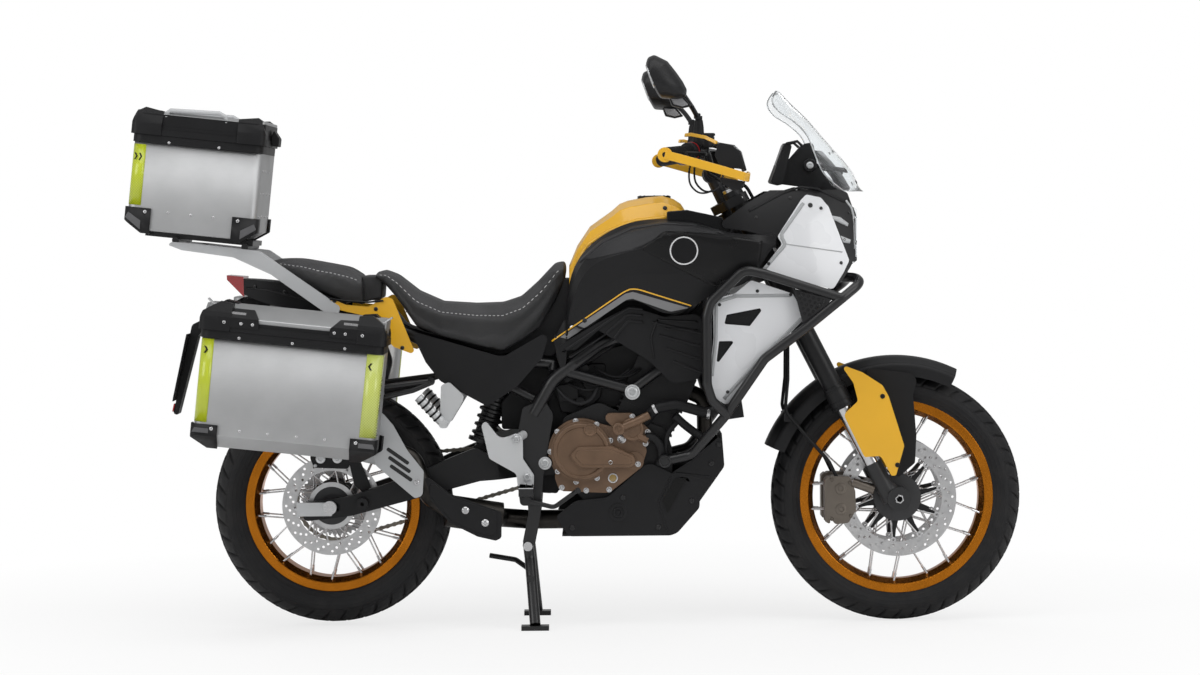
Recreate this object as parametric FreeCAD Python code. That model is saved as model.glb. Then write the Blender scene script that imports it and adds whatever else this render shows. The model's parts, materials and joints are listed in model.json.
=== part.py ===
import FreeCAD, Part
import math
import os
from FreeCAD import Vector

# Adventure motorcycle, all sizes in millimetres.
# Origin on the ground below the middle of the machine, +X forward, +Y to the rider's left, +Z up.

# Wheels and tyres: front 110/80-19, rear 150/70-17
WHEELBASE = 1488
FRONT_AXLE_X = 843
FRONT_TYRE_R = 330
FRONT_TYRE_W = 110
REAR_TYRE_R = 315
REAR_TYRE_W = 150
REAR_LIFT = 8
TYRE_WALL = 9
FRONT_SEAT_R = 241.5
REAR_SEAT_R = 216
FRONT_RIM_W = 86
REAR_RIM_W = 120
FLANGE_H = 14
RIM_WALL = 5
RIM_WELL = 17
SPOKE_D = 4
SPOKE_PAIRS = 9
FIT = 0.3

# Steering head and fork
RAKE_DEG = 26.9
HEAD_X = 395
HEAD_Z = 1100
LOCK_STEM = 33
LEG_Y = 105
LEG_D = 52
STANCHION_D = 43
COLLAR_D = 60
AXLE_LEAD = 18
LEG_TOP = -28
LEG_LOW = 610
FOOT_TOP = 775
HEAD_TUBE_TOP = 30
HEAD_TUBE_LOW = 185
STEM_D = 30
HEAD_TUBE_D = 62
CLAMP_T = 24
FRONT_AXLE_D = 25
FRONT_AXLE_BORE = 16
FOOT_ROOM = 5

# Brakes
FRONT_DISC_D = 310
REAR_DISC_D = 260
DISC_T = 5
FRONT_DISC_Y = 71
REAR_DISC_Y = 94

# Swingarm, chain and stand
PIVOT_X = -83
PIVOT_Z = 433
REAR_AXLE_D = 24
ARM_IN = 112
ARM_OUT = 147
CHAIN_Y = 95
CHAIN_W = 16
CHAIN_H = 14
FRONT_SPROCKET_R = 42
REAR_SPROCKET_R = 106
SPROCKET_X = -12
SPROCKET_Z = 437
STAND_X = -130
STAND_Z = 215
STAND_TUBE = 28
FOOT_Y = 172
FOOT_LEAD = 18

# Luggage
BOX_WALL = 2.5
PANNIER_PITCH = 6.2
PANNIER_X = -724
PANNIER_Z = 651
PANNIER_HALF_L = 230
PANNIER_OUT_Y = 440
PANNIER_IN_Y = 224
PANNIER_LOW = -170
PANNIER_RIM = 126
PANNIER_TOP = 193
TOPBOX_PITCH = 6.3
TOPBOX_X = -986
TOPBOX_Z = 1161
TOPBOX_HALF_L = 168
TOPBOX_HALF_W = 172
TOPBOX_LOW = -124
TOPBOX_RIM = 124
TOPBOX_TOP = 188
CASE_R = 22
RIM_BAND_T = 4
RIM_BAND_H = 20
LID_SKIRT_T = 6
LID_SKIRT_H = 24
LID_BLOCK_PROUD = 10
LID_BLOCK = [(-64, 0), (-2, 0), (0, 30), (-8, 54), (-24, 71), (-36, 66), (-64, 66)]

REAR_AXLE_X = FRONT_AXLE_X - WHEELBASE
REAR_AXLE_Z = REAR_TYRE_R + REAR_LIFT
NODES = {}


# Helpers: outlines with rounded corners, plates, rods and skins

def keep(name, *solids):
    """Add closed solids to one node."""
    NODES.setdefault(name, []).extend(solids)


def fused(first, *rest):
    """Join touching solids into one."""
    shape = first.fuse(list(rest)) if rest else first
    return shape.removeSplitter()


def clear(piece, *names, room=0):
    """Trim a piece where it meets the nodes it is fixed to, and keep its largest solid."""
    box = piece.BoundBox
    box.enlarge(2)
    others = [shape for name in names for shape in NODES[name] if shape.BoundBox.intersect(box)]
    if room:
        others += [shape.translated(Vector(0, side * room, 0)) for shape in list(others) for side in (1, -1)]
    rest = piece.cut(Part.makeCompound(others))
    return max(rest.Solids, key=lambda solid: solid.Volume)


def mirrored(shape):
    """The same piece on the other side of the middle plane."""
    return shape.mirror(Vector(0, 0, 0), Vector(0, 1, 0))


def both(name, *shapes):
    """Add pieces and their mirror images to a node."""
    for shape in shapes:
        keep(name, shape, mirrored(shape))


def corner(before, point, after, radius):
    """Start, middle and end of the arc that rounds one corner."""
    back = before - point
    ahead = after - point
    angle = back.getAngle(ahead)
    reach = min(radius / math.tan(angle / 2), 0.49 * back.Length, 0.49 * ahead.Length)
    radius = reach * math.tan(angle / 2)
    back.normalize()
    ahead.normalize()
    middle = back + ahead
    middle.normalize()
    middle = point + middle * (radius / math.sin(angle / 2) - radius)
    return point + back * reach, middle, point + ahead * reach


def loop(points, place):
    """Closed wire through 2-D points (a, b) or (a, b, corner radius), set in space by place."""
    spots = [place(p[0], p[1]) for p in points]
    count = len(points)
    ends = []
    for i, p in enumerate(points):
        if len(p) > 2:
            ends.append(corner(spots[i - 1], spots[i], spots[(i + 1) % count], p[2]))
        else:
            ends.append((spots[i], None, spots[i]))
    edges = []
    for i in range(count):
        start, middle, end = ends[i]
        if middle is not None:
            edges.append(Part.Arc(start, middle, end).toShape())
        following = ends[(i + 1) % count][0]
        if (following - end).Length > 1e-6:
            edges.append(Part.LineSegment(end, following).toShape())
    return Part.Wire(edges)


def plate(points, y_low, y_high):
    """Flat plate: an XZ outline carried from y_low to y_high."""
    face = Part.Face(loop(points, lambda a, b: Vector(a, y_low, b)))
    return face.extrude(Vector(0, y_high - y_low, 0))


def slab(points, x_low, x_high):
    """A YZ outline carried from x_low to x_high."""
    face = Part.Face(loop(points, lambda a, b: Vector(x_low, a, b)))
    return face.extrude(Vector(x_high - x_low, 0, 0))


def sheet(points, z_low, z_high):
    """An XY outline carried from z_low to z_high."""
    face = Part.Face(loop(points, lambda a, b: Vector(a, b, z_low)))
    return face.extrude(Vector(0, 0, z_high - z_low))


def block(x, y, z):
    """Box between pairs of limits."""
    return Part.makeBox(x[1] - x[0], y[1] - y[0], z[1] - z[0], Vector(x[0], y[0], z[0]))


def rod(start, end, diameter):
    """Round bar between two points."""
    start = Vector(*start)
    along = Vector(*end) - start
    return Part.makeCylinder(diameter / 2, along.Length, start, along)


def cross_rod(x, z, y_low, y_high, diameter):
    """Round bar along Y."""
    return Part.makeCylinder(diameter / 2, y_high - y_low, Vector(x, y_low, z), Vector(0, 1, 0))


def tube(points, diameter, bend):
    """Bent round tube: straight runs joined by tangent arcs."""
    spots = [Vector(*p) for p in points]
    edges = []
    last = spots[0]
    for i in range(1, len(spots) - 1):
        start, middle, end = corner(spots[i - 1], spots[i], spots[i + 1], bend)
        if (start - last).Length > 1e-6:
            edges.append(Part.LineSegment(last, start).toShape())
        edges.append(Part.Arc(start, middle, end).toShape())
        last = end
    edges.append(Part.LineSegment(last, spots[-1]).toShape())
    ring = Part.Wire(Part.makeCircle(diameter / 2, spots[0], spots[1] - spots[0]))
    return Part.Wire(edges).makePipeShell([ring], True, False)


def turned(points, x, z, angle=360, start=0):
    """Solid of revolution about the axle line through (x, z); points are (radius, y)."""
    face = Part.Face(loop(points, lambda a, b: Vector(x + a, b, z)))
    shape = face.revolve(Vector(x, 0, z), Vector(0, -1, 0), angle)
    if start:
        shape.rotate(Vector(x, 0, z), Vector(0, -1, 0), start)
    return shape


def smooth(points):
    """One smooth edge through points in space."""
    curve = Part.BSplineCurve()
    curve.interpolate(points)
    return curve.toShape()


def hood(stations):
    """Solid skinned over cross-sections: each is (x, half outline from the top middle to the lower edge)."""
    wires = []
    for x, half in stations:
        right = [Vector(x, y, z) for y, z in half]
        left = [Vector(x, -y, z) for y, z in reversed(half) if y > 0]
        over = left + right
        wires.append(Part.Wire([smooth(over), Part.LineSegment(over[-1], over[0]).toShape()]))
    return Part.makeLoft(wires, True, False)


def facets(stations):
    """Solid skinned over cross-sections with sharp creases: each is (x, closed outline of (y, z))."""
    wires = [Part.makePolygon([Vector(x, y, z) for y, z in ring + ring[:1]]) for x, ring in stations]
    return Part.makeLoft(wires, True, False)


def side_skin(stations, wall):
    """Curved side wall, right side: each station is (x, outer line of (distance out, z))."""
    wires = []
    for x, line in stations:
        outer = [Vector(x, -y, z) for y, z in line]
        inner = [Vector(x, wall - y, z) for y, z in line]
        wires.append(Part.Wire([smooth(outer), Part.LineSegment(outer[-1], inner[-1]).toShape(),
                                smooth(inner[::-1]), Part.LineSegment(inner[0], outer[0]).toShape()]))
    return Part.makeLoft(wires, True, False)


def cut_from(skin, points, y_low=-400, y_high=-20):
    """The part of a side wall that lies inside an XZ outline."""
    return skin.common(plate(points, y_low, y_high)).Solids


RAKE = math.radians(RAKE_DEG)


def fork_point(down, ahead, y):
    """A point in the fork: down along the steering axis, ahead of it, and to the side."""
    return (HEAD_X + down * math.sin(RAKE) + ahead * math.cos(RAKE), y,
            HEAD_Z - down * math.cos(RAKE) + ahead * math.sin(RAKE))


def in_fork(shape):
    """Place a shape drawn with Z up along the steering axis, its origin at the head reference."""
    copy = shape.copy()
    copy.rotate(Vector(0, 0, 0), Vector(0, 1, 0), -RAKE_DEG)
    copy.translate(Vector(HEAD_X, 0, HEAD_Z))
    return copy


def fork_rod(y, ahead, top, low, diameter):
    """Round bar along the fork."""
    return rod(fork_point(low, ahead, y), fork_point(top, ahead, y), diameter)


# Wheels

def tyre_ring(x, z, radius, width, seat, rim_width):
    """Hollow tyre with its beads on the rim's seats."""
    half = width / 2
    bead = rim_width / 2 - RIM_WALL - FIT
    hoop = seat + FIT
    wide = seat + 0.55 * (radius - seat)
    edge = [(hoop, bead), (seat + FLANGE_H + 2, bead), (wide - 16, half * 0.97), (wide + 6, half),
            (radius - 24, half * 0.93), (radius - 8, half * 0.66), (radius, half * 0.25)]
    liner = [(hoop, bead - TYRE_WALL), (wide, half - TYRE_WALL), (radius - TYRE_WALL - 8, half * 0.6)]
    inside = liner + [(r, -y) for r, y in reversed(liner)]
    outside = [(r, -y) for r, y in edge] + list(reversed(edge))
    return turned(inside + outside, x, z)


def rim_ring(x, z, seat, width):
    """Rim: flanges, bead seats and a well between them."""
    half = width / 2
    flange = seat + FLANGE_H
    well = seat - RIM_WELL
    ring = [(flange, half, 2), (flange, half - RIM_WALL, 2), (seat, half - RIM_WALL), (seat, half - 24),
            (well, half - 34, 6), (well, 34 - half, 6), (seat, 24 - half), (seat, RIM_WALL - half),
            (flange, RIM_WALL - half, 2), (flange, -half, 2), (seat - 9, -half, 4), (well - RIM_WALL, 26 - half, 6),
            (well - RIM_WALL, half - 26, 6), (seat - 9, half, 4)]
    return turned(ring, x, z)


def spoke_set(x, z, hub_r, hub_y, rim_r, rim_y, lead):
    """Crossed spokes of one side of a wheel, leading and trailing ones apart."""
    spokes = []
    step = 360 / SPOKE_PAIRS
    for i in range(SPOKE_PAIRS):
        for way, shift in ((1, 3.5), (-1, -3.5)):
            a = math.radians(i * step + way * step / 4)
            b = a + way * math.radians(lead)
            start = (x + hub_r * math.cos(a), hub_y + shift, z + hub_r * math.sin(a))
            end = (x + rim_r * math.cos(b), rim_y + shift, z + rim_r * math.sin(b))
            spokes.append(rod(start, end, SPOKE_D))
    return spokes


def hub_with_spokes(x, z, barrel, seat, rim_width, bore, flange_y, flange_r, rim):
    """Hub barrel with two flanges, and the crossed spokes that reach the rim."""
    half = barrel / 2
    lip = flange_y + 8
    body = turned([(bore / 2, -half), (34, -half), (34, -lip), (flange_r, -lip, 3), (flange_r, 8 - flange_y, 3),
                   (30, 20 - flange_y, 8), (30, flange_y - 20, 8), (flange_r, flange_y - 8, 3), (flange_r, lip, 3),
                   (34, lip), (34, half), (bore / 2, half)], x, z)
    rim_r = seat - RIM_WELL + 6
    rim_y = rim_width / 2 - 19
    spokes = []
    for side in (1, -1):
        spokes += spoke_set(x, z, flange_r - 6, side * flange_y, rim_r, side * rim_y, 42)
    return fused(body, *[spoke.cut(rim) for spoke in spokes])


def disc_ring(x, z, y, diameter, thickness, carrier_r, bore_r, holes):
    """Brake disc: drilled ring on a spoked carrier."""
    low = y - thickness / 2
    high = y + thickness / 2
    ring = turned([(diameter / 2 - 38, low), (diameter / 2, low), (diameter / 2, high), (diameter / 2 - 38, high)],
                  x, z)
    drills = []
    for i in range(holes):
        a = 2 * math.pi * i / holes
        for j, offset in enumerate((10, 19, 28)):
            b = a + j * 2 * math.pi / holes / 3
            r = diameter / 2 - offset
            drills.append(cross_rod(x + r * math.cos(b), z + r * math.sin(b), low - 1, high + 1, 7))
    ring = ring.cut(Part.makeCompound(drills))
    arms = [turned([(bore_r, low), (carrier_r, low), (carrier_r, high), (bore_r, high)], x, z)]
    for i in range(10):
        a = math.radians(36 * i)
        b = a + math.radians(12)
        arms.append(rod((x + carrier_r * math.cos(a) * 0.95, y, z + carrier_r * math.sin(a) * 0.95),
                        (x + (diameter / 2 - 32) * math.cos(b), y, z + (diameter / 2 - 32) * math.sin(b)), 4.6))
    return fused(ring, *arms)


def front_wheel():
    x, z = FRONT_AXLE_X, FRONT_TYRE_R
    keep("front_tyre", tyre_ring(x, z, FRONT_TYRE_R, FRONT_TYRE_W, FRONT_SEAT_R, FRONT_RIM_W))
    rim = rim_ring(x, z, FRONT_SEAT_R, FRONT_RIM_W)
    keep("front_rim", rim)
    keep("front_hub", hub_with_spokes(x, z, 2 * (FRONT_DISC_Y - DISC_T / 2), FRONT_SEAT_R, FRONT_RIM_W,
                                      FRONT_AXLE_D + 2 * FIT, 34, 58, rim))
    for side in (1, -1):
        keep("front_discs", disc_ring(x, z, side * FRONT_DISC_Y, FRONT_DISC_D, DISC_T, 62, 30, 24))


def rear_wheel():
    x, z = REAR_AXLE_X, REAR_AXLE_Z
    keep("rear_tyre", tyre_ring(x, z, REAR_TYRE_R, REAR_TYRE_W, REAR_SEAT_R, REAR_RIM_W))
    rim = rim_ring(x, z, REAR_SEAT_R, REAR_RIM_W)
    keep("rear_rim", rim)
    keep("rear_hub", hub_with_spokes(x, z, 2 * (REAR_DISC_Y - DISC_T / 2), REAR_SEAT_R, REAR_RIM_W,
                                     REAR_AXLE_D + 2 * FIT, 44, 62, rim))
    keep("rear_disc", disc_ring(x, z, -REAR_DISC_Y, REAR_DISC_D, DISC_T, 62, 30, 20))
    keep("rear_disc", sprocket(x, z, CHAIN_Y, REAR_SPROCKET_R - CHAIN_H / 2 - 2, 42, 30))


def sprocket(x, z, y, radius, teeth, bore_r):
    """Toothed chain wheel with lightening holes."""
    half = 3.5
    disc = turned([(bore_r, y - half), (radius - 6, y - half), (radius - 6, y + half), (bore_r, y + half)], x, z)
    cuts = []
    for i in range(6):
        a = math.radians(60 * i)
        r = radius * 0.66
        cuts.append(cross_rod(x + r * math.cos(a), z + r * math.sin(a), y - 9, y + 9, radius * 0.3))
    disc = disc.cut(Part.makeCompound(cuts))
    points = []
    for i in range(teeth):
        a = 2 * math.pi * i / teeth
        w = 2 * math.pi / teeth
        for r, k in ((radius - 6, -0.34), (radius, -0.14), (radius, 0.14), (radius - 6, 0.34)):
            points.append((x + r * math.cos(a + k * w), z + r * math.sin(a + k * w)))
    crown = plate(points, y - half, y + half)
    crown = crown.cut(cross_rod(x, z, y - 9, y + 9, 2 * radius - 14))
    return fused(disc, crown)


# Fork and steering

def fork():
    for side in (1, -1):
        y = side * LEG_Y
        keep("fork_tubes", fused(fork_rod(y, LOCK_STEM, LEG_TOP, LEG_LOW - 50, LEG_D),
                                 fork_rod(y, LOCK_STEM, LEG_LOW - 60, LEG_LOW, COLLAR_D)))
    axle_down = (HEAD_Z - FRONT_TYRE_R + (LOCK_STEM + AXLE_LEAD) * math.sin(RAKE)) / math.cos(RAKE)
    inner = FRONT_DISC_Y + DISC_T / 2 + FOOT_ROOM
    feet = []
    for side in (1, -1):
        y = side * LEG_Y
        stanchion = fork_rod(y, LOCK_STEM, LEG_LOW, FOOT_TOP + 20, STANCHION_D)
        foot = fork_rod(y, LOCK_STEM, FOOT_TOP, axle_down - 4, LEG_D - 4)
        lug = cross_rod(FRONT_AXLE_X, FRONT_TYRE_R, min(side * inner, side * (LEG_Y + 30)),
                        max(side * inner, side * (LEG_Y + 30)), 62)
        web = rod(fork_point(axle_down - 60, LOCK_STEM, y), fork_point(axle_down, LOCK_STEM + AXLE_LEAD, y), 40)
        lug = lug.cut(cross_rod(FRONT_AXLE_X, FRONT_TYRE_R, -200, 200, FRONT_AXLE_BORE))
        web = web.cut(cross_rod(FRONT_AXLE_X, FRONT_TYRE_R, -200, 200, FRONT_AXLE_BORE))
        foot = foot.cut(cross_rod(FRONT_AXLE_X, FRONT_TYRE_R, -200, 200, FRONT_AXLE_BORE))
        feet.append(fused(stanchion, foot, web, lug))
    axle = cross_rod(FRONT_AXLE_X, FRONT_TYRE_R, -inner - 2, inner + 2, FRONT_AXLE_D)
    axle = axle.cut(cross_rod(FRONT_AXLE_X, FRONT_TYRE_R, -200, 200, FRONT_AXLE_BORE))
    keep("fork_sliders", fused(feet[0], axle, feet[1]))


def triple_clamp(down, stem_reach, leg_hole):
    """One fork bridge, drawn flat and then placed along the steering axis."""
    wide = LEG_Y + LEG_D / 2 + 12
    z = -down
    outline = [(-stem_reach, -30, 12), (LOCK_STEM - 34, -wide, 20), (LOCK_STEM + 32, -wide, 20),
               (LOCK_STEM + 28, -40, 30), (LOCK_STEM + 28, 40, 30), (LOCK_STEM + 32, wide, 20),
               (LOCK_STEM - 34, wide, 20), (-stem_reach, 30, 12)]
    bridge = sheet(outline, z - CLAMP_T / 2, z + CLAMP_T / 2)
    for side in (1, -1):
        bridge = bridge.cut(Part.makeCylinder(leg_hole / 2, 3 * CLAMP_T, Vector(LOCK_STEM, side * LEG_Y,
                                                                                 z - 1.5 * CLAMP_T)))
    return bridge


def steering_clamps():
    top = triple_clamp(0, 34, LEG_D + 2 * FIT)
    low = triple_clamp(HEAD_TUBE_LOW + 22, 34, LEG_D + 2 * FIT)
    stem = Part.makeCylinder(STEM_D / 2, HEAD_TUBE_LOW + 22, Vector(0, 0, -HEAD_TUBE_LOW - 22))
    keep("triple_clamps", in_fork(fused(top, low, stem)))


BAR_D = 28
BAR_SMALL = 22
BAR_X = 362
BAR_Z = 1184
GRIP_IN = (291, 306, 1238)
BAR_END = (237, 420, 1231)


def handlebar():
    """Tapered bar on two risers, with grips, switch housings, levers and reservoirs."""
    bend = [(BAR_X, 75, BAR_Z), (344, 180, BAR_Z + 54), GRIP_IN, BAR_END]
    path = [(x, -y, z) for x, y, z in reversed(bend)] + bend
    pieces = [tube(path, BAR_SMALL, 60), rod((BAR_X, -78, BAR_Z), (BAR_X, 78, BAR_Z), BAR_D)]
    around = tube(path, BAR_SMALL + 2 * FIT, 60)
    for side in (1, -1):
        foot = fork_point(-CLAMP_T / 2, 6, side * 48)
        pieces.append(rod(foot, (BAR_X, side * 48, BAR_Z), 34))
        pieces.append(cross_rod(BAR_X, BAR_Z, side * 48 - 16, side * 48 + 16, 46))
    keep("handlebar", clear(fused(*pieces), "triple_clamps"))
    for side in (1, -1):
        start = Vector(GRIP_IN[0], side * GRIP_IN[1], GRIP_IN[2])
        end = Vector(BAR_END[0], side * BAR_END[1], BAR_END[2])
        way = end - start
        way.normalize()
        skin = rod(tuple(start + way * 6), tuple(end - way * 2), 34)
        core = rod(tuple(start - way * 9), tuple(end + way * 9), BAR_SMALL + 2 * FIT)
        keep("controls", skin.cut(core))
        housing = rod(tuple(start - way * 42), tuple(start + way * 2), 44)
        pivot = start - way * 30 + Vector(34, 0, -6)
        tip = end + Vector(48, side * 4, 2)
        middle = start + way * 40 + Vector(58, 0, -4)
        lever = tube([tuple(pivot), tuple(middle), tuple(tip)], 11, 60)
        perch = rod(tuple(start - way * 36), tuple(pivot), 26)
        cup = Part.makeCylinder(19, 34, pivot + Vector(4, side * -14, 16))
        neck = rod(tuple(pivot), tuple(pivot + Vector(4, side * -14, 30)), 16)
        keep("controls", fused(housing, lever, perch, cup, neck).cut(around))


def hand_guards():
    """Metal bow from the bar's end round to its clamp, with a plastic shield above and below it."""
    for side in (1, -1):
        end = Vector(BAR_END[0] - 4, side * (BAR_END[1] + 12), BAR_END[2])
        bow = tube([tuple(end), (318, side * 462, 1212), (442, side * 436, 1178), (446, side * 330, 1180),
                    (392, side * 236, 1196), (352, side * 188, BAR_Z + 50)], 15, 60)
        cap = cross_rod(end.x, end.z, *sorted((side * 427, side * 444)), 40)
        shield = facets([(402, [(side * 268, 1226), (side * 300, 1252), (side * 425, 1248), (side * 440, 1224),
                                (side * 420, 1216)]),
                         (428, [(side * 262, 1190), (side * 296, 1240), (side * 418, 1236), (side * 432, 1196),
                                (side * 400, 1184)]),
                         (436, [(side * 272, 1188), (side * 300, 1222), (side * 405, 1216), (side * 424, 1192),
                                (side * 398, 1185)])])
        lower = facets([(412, [(side * 300, 1172), (side * 420, 1174), (side * 404, 1146), (side * 312, 1142)]),
                        (438, [(side * 296, 1178), (side * 424, 1180), (side * 400, 1154), (side * 316, 1150)])])
        keep("hand_guards", clear(fused(bow, cap, shield, lower), "handlebar"))


def mirrors():
    for side in (1, -1):
        foot = Vector(322, side * 268, 1266)
        arm = tube([tuple(foot), (322, side * 276, 1320), (296, side * 400, 1384), (240, side * 438, 1432)], 11, 50)
        base = Part.makeCylinder(13, 26, foot - Vector(0, 0, 20))
        glass = plate([(-66, -30, 22), (-40, -52, 26), (44, -48, 26), (66, -14, 22), (56, 34, 26), (-8, 52, 30),
                       (-62, 30, 24)], -14, 14)
        glass.rotate(Vector(0, 0, 0), Vector(0, 0, 1), 78 * side)
        glass.rotate(Vector(0, 0, 0), Vector(0, 1, 0), 42)
        glass.translate(Vector(243, side * 438, 1434))
        keep("mirrors", clear(fused(arm, base, glass), "controls", "handlebar"))


FENDER_R = 372
FENDER_HALF = 74
FIN_IN = 79.6
FIN_OUT = 84


def fork_guards():
    """Plastic guards over the sliders, screwed to the fork feet."""
    outline = [(690, 685, 6), (748, 663, 14), (800, 629, 16), (816, 600, 10), (856, 470, 10), (834, 392, 8),
               (822, 392, 4), (794, 444, 12), (752, 441, 8), (698, 553, 14), (736, 588, 10), (724, 636, 10)]
    wall = 5
    y = LEG_Y + LEG_D / 2 + 4
    face = plate(outline, -y - wall, -y)
    front = plate([(748, 663, 10), (800, 629, 16), (816, 600, 10), (856, 470), (850, 470), (809, 599, 10),
                   (795, 624, 14), (746, 657, 8)], -y, -y + 34)
    pegs = [cross_rod(790, 430, -y - 1, -118, 18), cross_rod(842, 484, -y - 1, -FIN_OUT - FIT, 12)]
    both("fork_guards", clear(fused(face, front, *pegs), "fork_sliders"))


def front_fender():
    """Mudguard that follows the tyre, with a fin each side down the front of the fork."""
    x, z = FRONT_AXLE_X, FRONT_TYRE_R
    band = turned([(FENDER_R, 30, 60), (FENDER_R - 20, FENDER_HALF, 14), (FENDER_R - 52, FENDER_HALF + 1),
                   (FENDER_R - 52, FENDER_HALF - 3), (FENDER_R - 24, FENDER_HALF - 6, 12), (FENDER_R - 5, 28, 60),
                   (FENDER_R - 5, -28, 60), (FENDER_R - 24, 6 - FENDER_HALF, 12), (FENDER_R - 52, 3 - FENDER_HALF),
                   (FENDER_R - 52, -1 - FENDER_HALF), (FENDER_R - 20, -FENDER_HALF, 14), (FENDER_R, -30, 60)],
                  x, z, 94, 64)
    fin = plate([(760, 672, 20), (900, 655, 30), (885, 600, 20), (893, 490, 12), (889, 421, 10), (846, 384, 6),
                 (835, 392), (850, 470), (808, 598), (770, 640)], -FIN_OUT, -FIN_IN)
    root = plate([(764, 668, 20), (896, 652, 30), (880, 600, 20), (886, 500, 12), (846, 500, 10), (808, 598),
                  (774, 640)], -FIN_OUT, 1 - FENDER_HALF)
    side = fused(fin, root)
    keep("front_fender", fused(band, side, mirrored(side)))


def front_calipers():
    """Radial calipers behind the fork feet."""
    outline = [(664, 389, 8), (716, 388, 10), (730, 350, 10), (732, 300, 10), (712, 266, 10), (676, 262, 10),
               (656, 300, 20), (652, 360, 20)]
    slot = DISC_T + 3
    y = FRONT_DISC_Y
    body = plate(outline, -y - 30, 24 - y).cut(block((600, 800), (-y - slot / 2, -y + slot / 2), (200, 450)))
    bridge = plate([(650, 380, 6), (664, 392, 6), (664, 262, 4), (650, 270, 6)], -y - 30, 24 - y)
    arm = rod((724, -y - 24, 372), (780, -LEG_Y, 352), 24)
    both("front_calipers", clear(fused(body, bridge, arm), "fork_sliders"))


HOSE_D = 9
HOSE_BEND = 36


def brake_hoses():
    """Hose from the lever to a splitter on the lower clamp, and one from there to each caliper."""
    bend = HOSE_BEND
    feed = tube([(338, -266, 1232), (346, -200, 1186), fork_point(-46, 30, -106), fork_point(-30, 74, -56),
                 fork_point(70, 78, -34), fork_point(206, 74, -8)], HOSE_D, bend)
    splitter = in_fork(block((LOCK_STEM + 26, LOCK_STEM + 50), (-18, 18), (-218, -196)))
    pieces = [feed, splitter]
    for side in (1, -1):
        branch = tube([fork_point(212, 74, side * 8), fork_point(280, 62, side * 34), fork_point(380, -10, side * 60),
                       fork_point(480, -62, side * 70), (548, side * 84, 560), (618, side * 90, 478),
                       (662, side * 92, 428), (684, side * 90, 382)], HOSE_D, bend)
        clip = block((546, 566), sorted((side * 73, side * 86)), (532, 552))
        pieces += [branch, clip]
    keep("brake_hoses", clear(fused(*pieces), "front_calipers", "controls", "triple_clamps", "front_fender"))


# Frame

PLATE_IN = 112
PLATE_OUT = 134
HEAD_HALF = 100


def frame():
    """Steel tube frame: head tube, twin upper and lower tubes, pivot plates and stand lugs."""
    head = rod(fork_point(HEAD_TUBE_TOP - 14, 0, 0), fork_point(HEAD_TUBE_LOW + 6, 0, 0), HEAD_TUBE_D)
    pieces = [head]
    for side in (1, -1):
        pieces.append(tube([fork_point(62, -14, side * 18), (300, side * 108, 832), (62, side * 128, 742),
                            (-60, side * 128, 650), (-112, side * 123, 560)], 34, 90))
        pieces.append(tube([fork_point(140, -16, side * 16), (306, side * 118, 738), (146, side * 128, 622),
                            (-30, side * 128, 672)], 28, 40))
        pieces.append(rod((306, side * 116, 742), (170, side * 118, 785), 22))
        low, high = sorted((side * PLATE_IN, side * PLATE_OUT))
        pieces.append(plate([(-140, 578, 12), (-84, 600, 20), (-60, 560, 30), (-76, 470, 20), (-88, 400, 20),
                             (-96, 300, 20), (-112, 214, 16), (-146, 214, 16), (-128, 300, 30), (-134, 430, 30),
                             (-152, 520, 12)], low, high))
        pieces.append(cross_rod(147, 617, *sorted((side * (HEAD_HALF + FIT), side * 146)), 36))
    pieces.append(cross_rod(-96, 560, -PLATE_IN - 4, PLATE_IN + 4, 30))
    pieces.append(cross_rod(-106, 345, -PLATE_IN - 4, PLATE_IN + 4, 26))
    body = fused(*pieces)
    body = body.cut(rod(fork_point(0, 0, 0), fork_point(230, 0, 0), STEM_D + 2 * FIT))
    body = body.cut(cross_rod(PIVOT_X, PIVOT_Z, -200, 200, 20 + 2 * FIT))
    body = body.cut(cross_rod(STAND_X, STAND_Z, -200, 200, 14 + 2 * FIT))
    keep("main_frame", body)


SHOCK_TOP = (-178, 700)
SHOCK_PIN_IN = 27


def subframe():
    """Rear frame under the seats."""
    pieces = []
    for side in (1, -1):
        pieces.append(tube([(-58, side * 100, 690), (-210, side * 98, 704), (-440, side * 92, 778),
                            (-640, side * 84, 842), (-800, side * 70, 862)], 26, 120))
        pieces.append(rod((-112, side * 104, 600), (-446, side * 92, 772), 22))
        pieces.append(rod((-58, side * 100, 690), (-62, side * 122, 668), 26))
    pieces.append(cross_rod(-300, 732, -100, 100, 20))
    pieces.append(cross_rod(-640, 842, -90, 90, 20))
    pieces.append(cross_rod(-790, 861, -72, 72, 20))
    pieces.append(cross_rod(SHOCK_TOP[0], SHOCK_TOP[1], SHOCK_PIN_IN, 97, 18))
    pieces.append(cross_rod(SHOCK_TOP[0], SHOCK_TOP[1], -97, -SHOCK_PIN_IN, 18))
    keep("rear_subframe", clear(fused(*pieces), "main_frame"))


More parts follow.
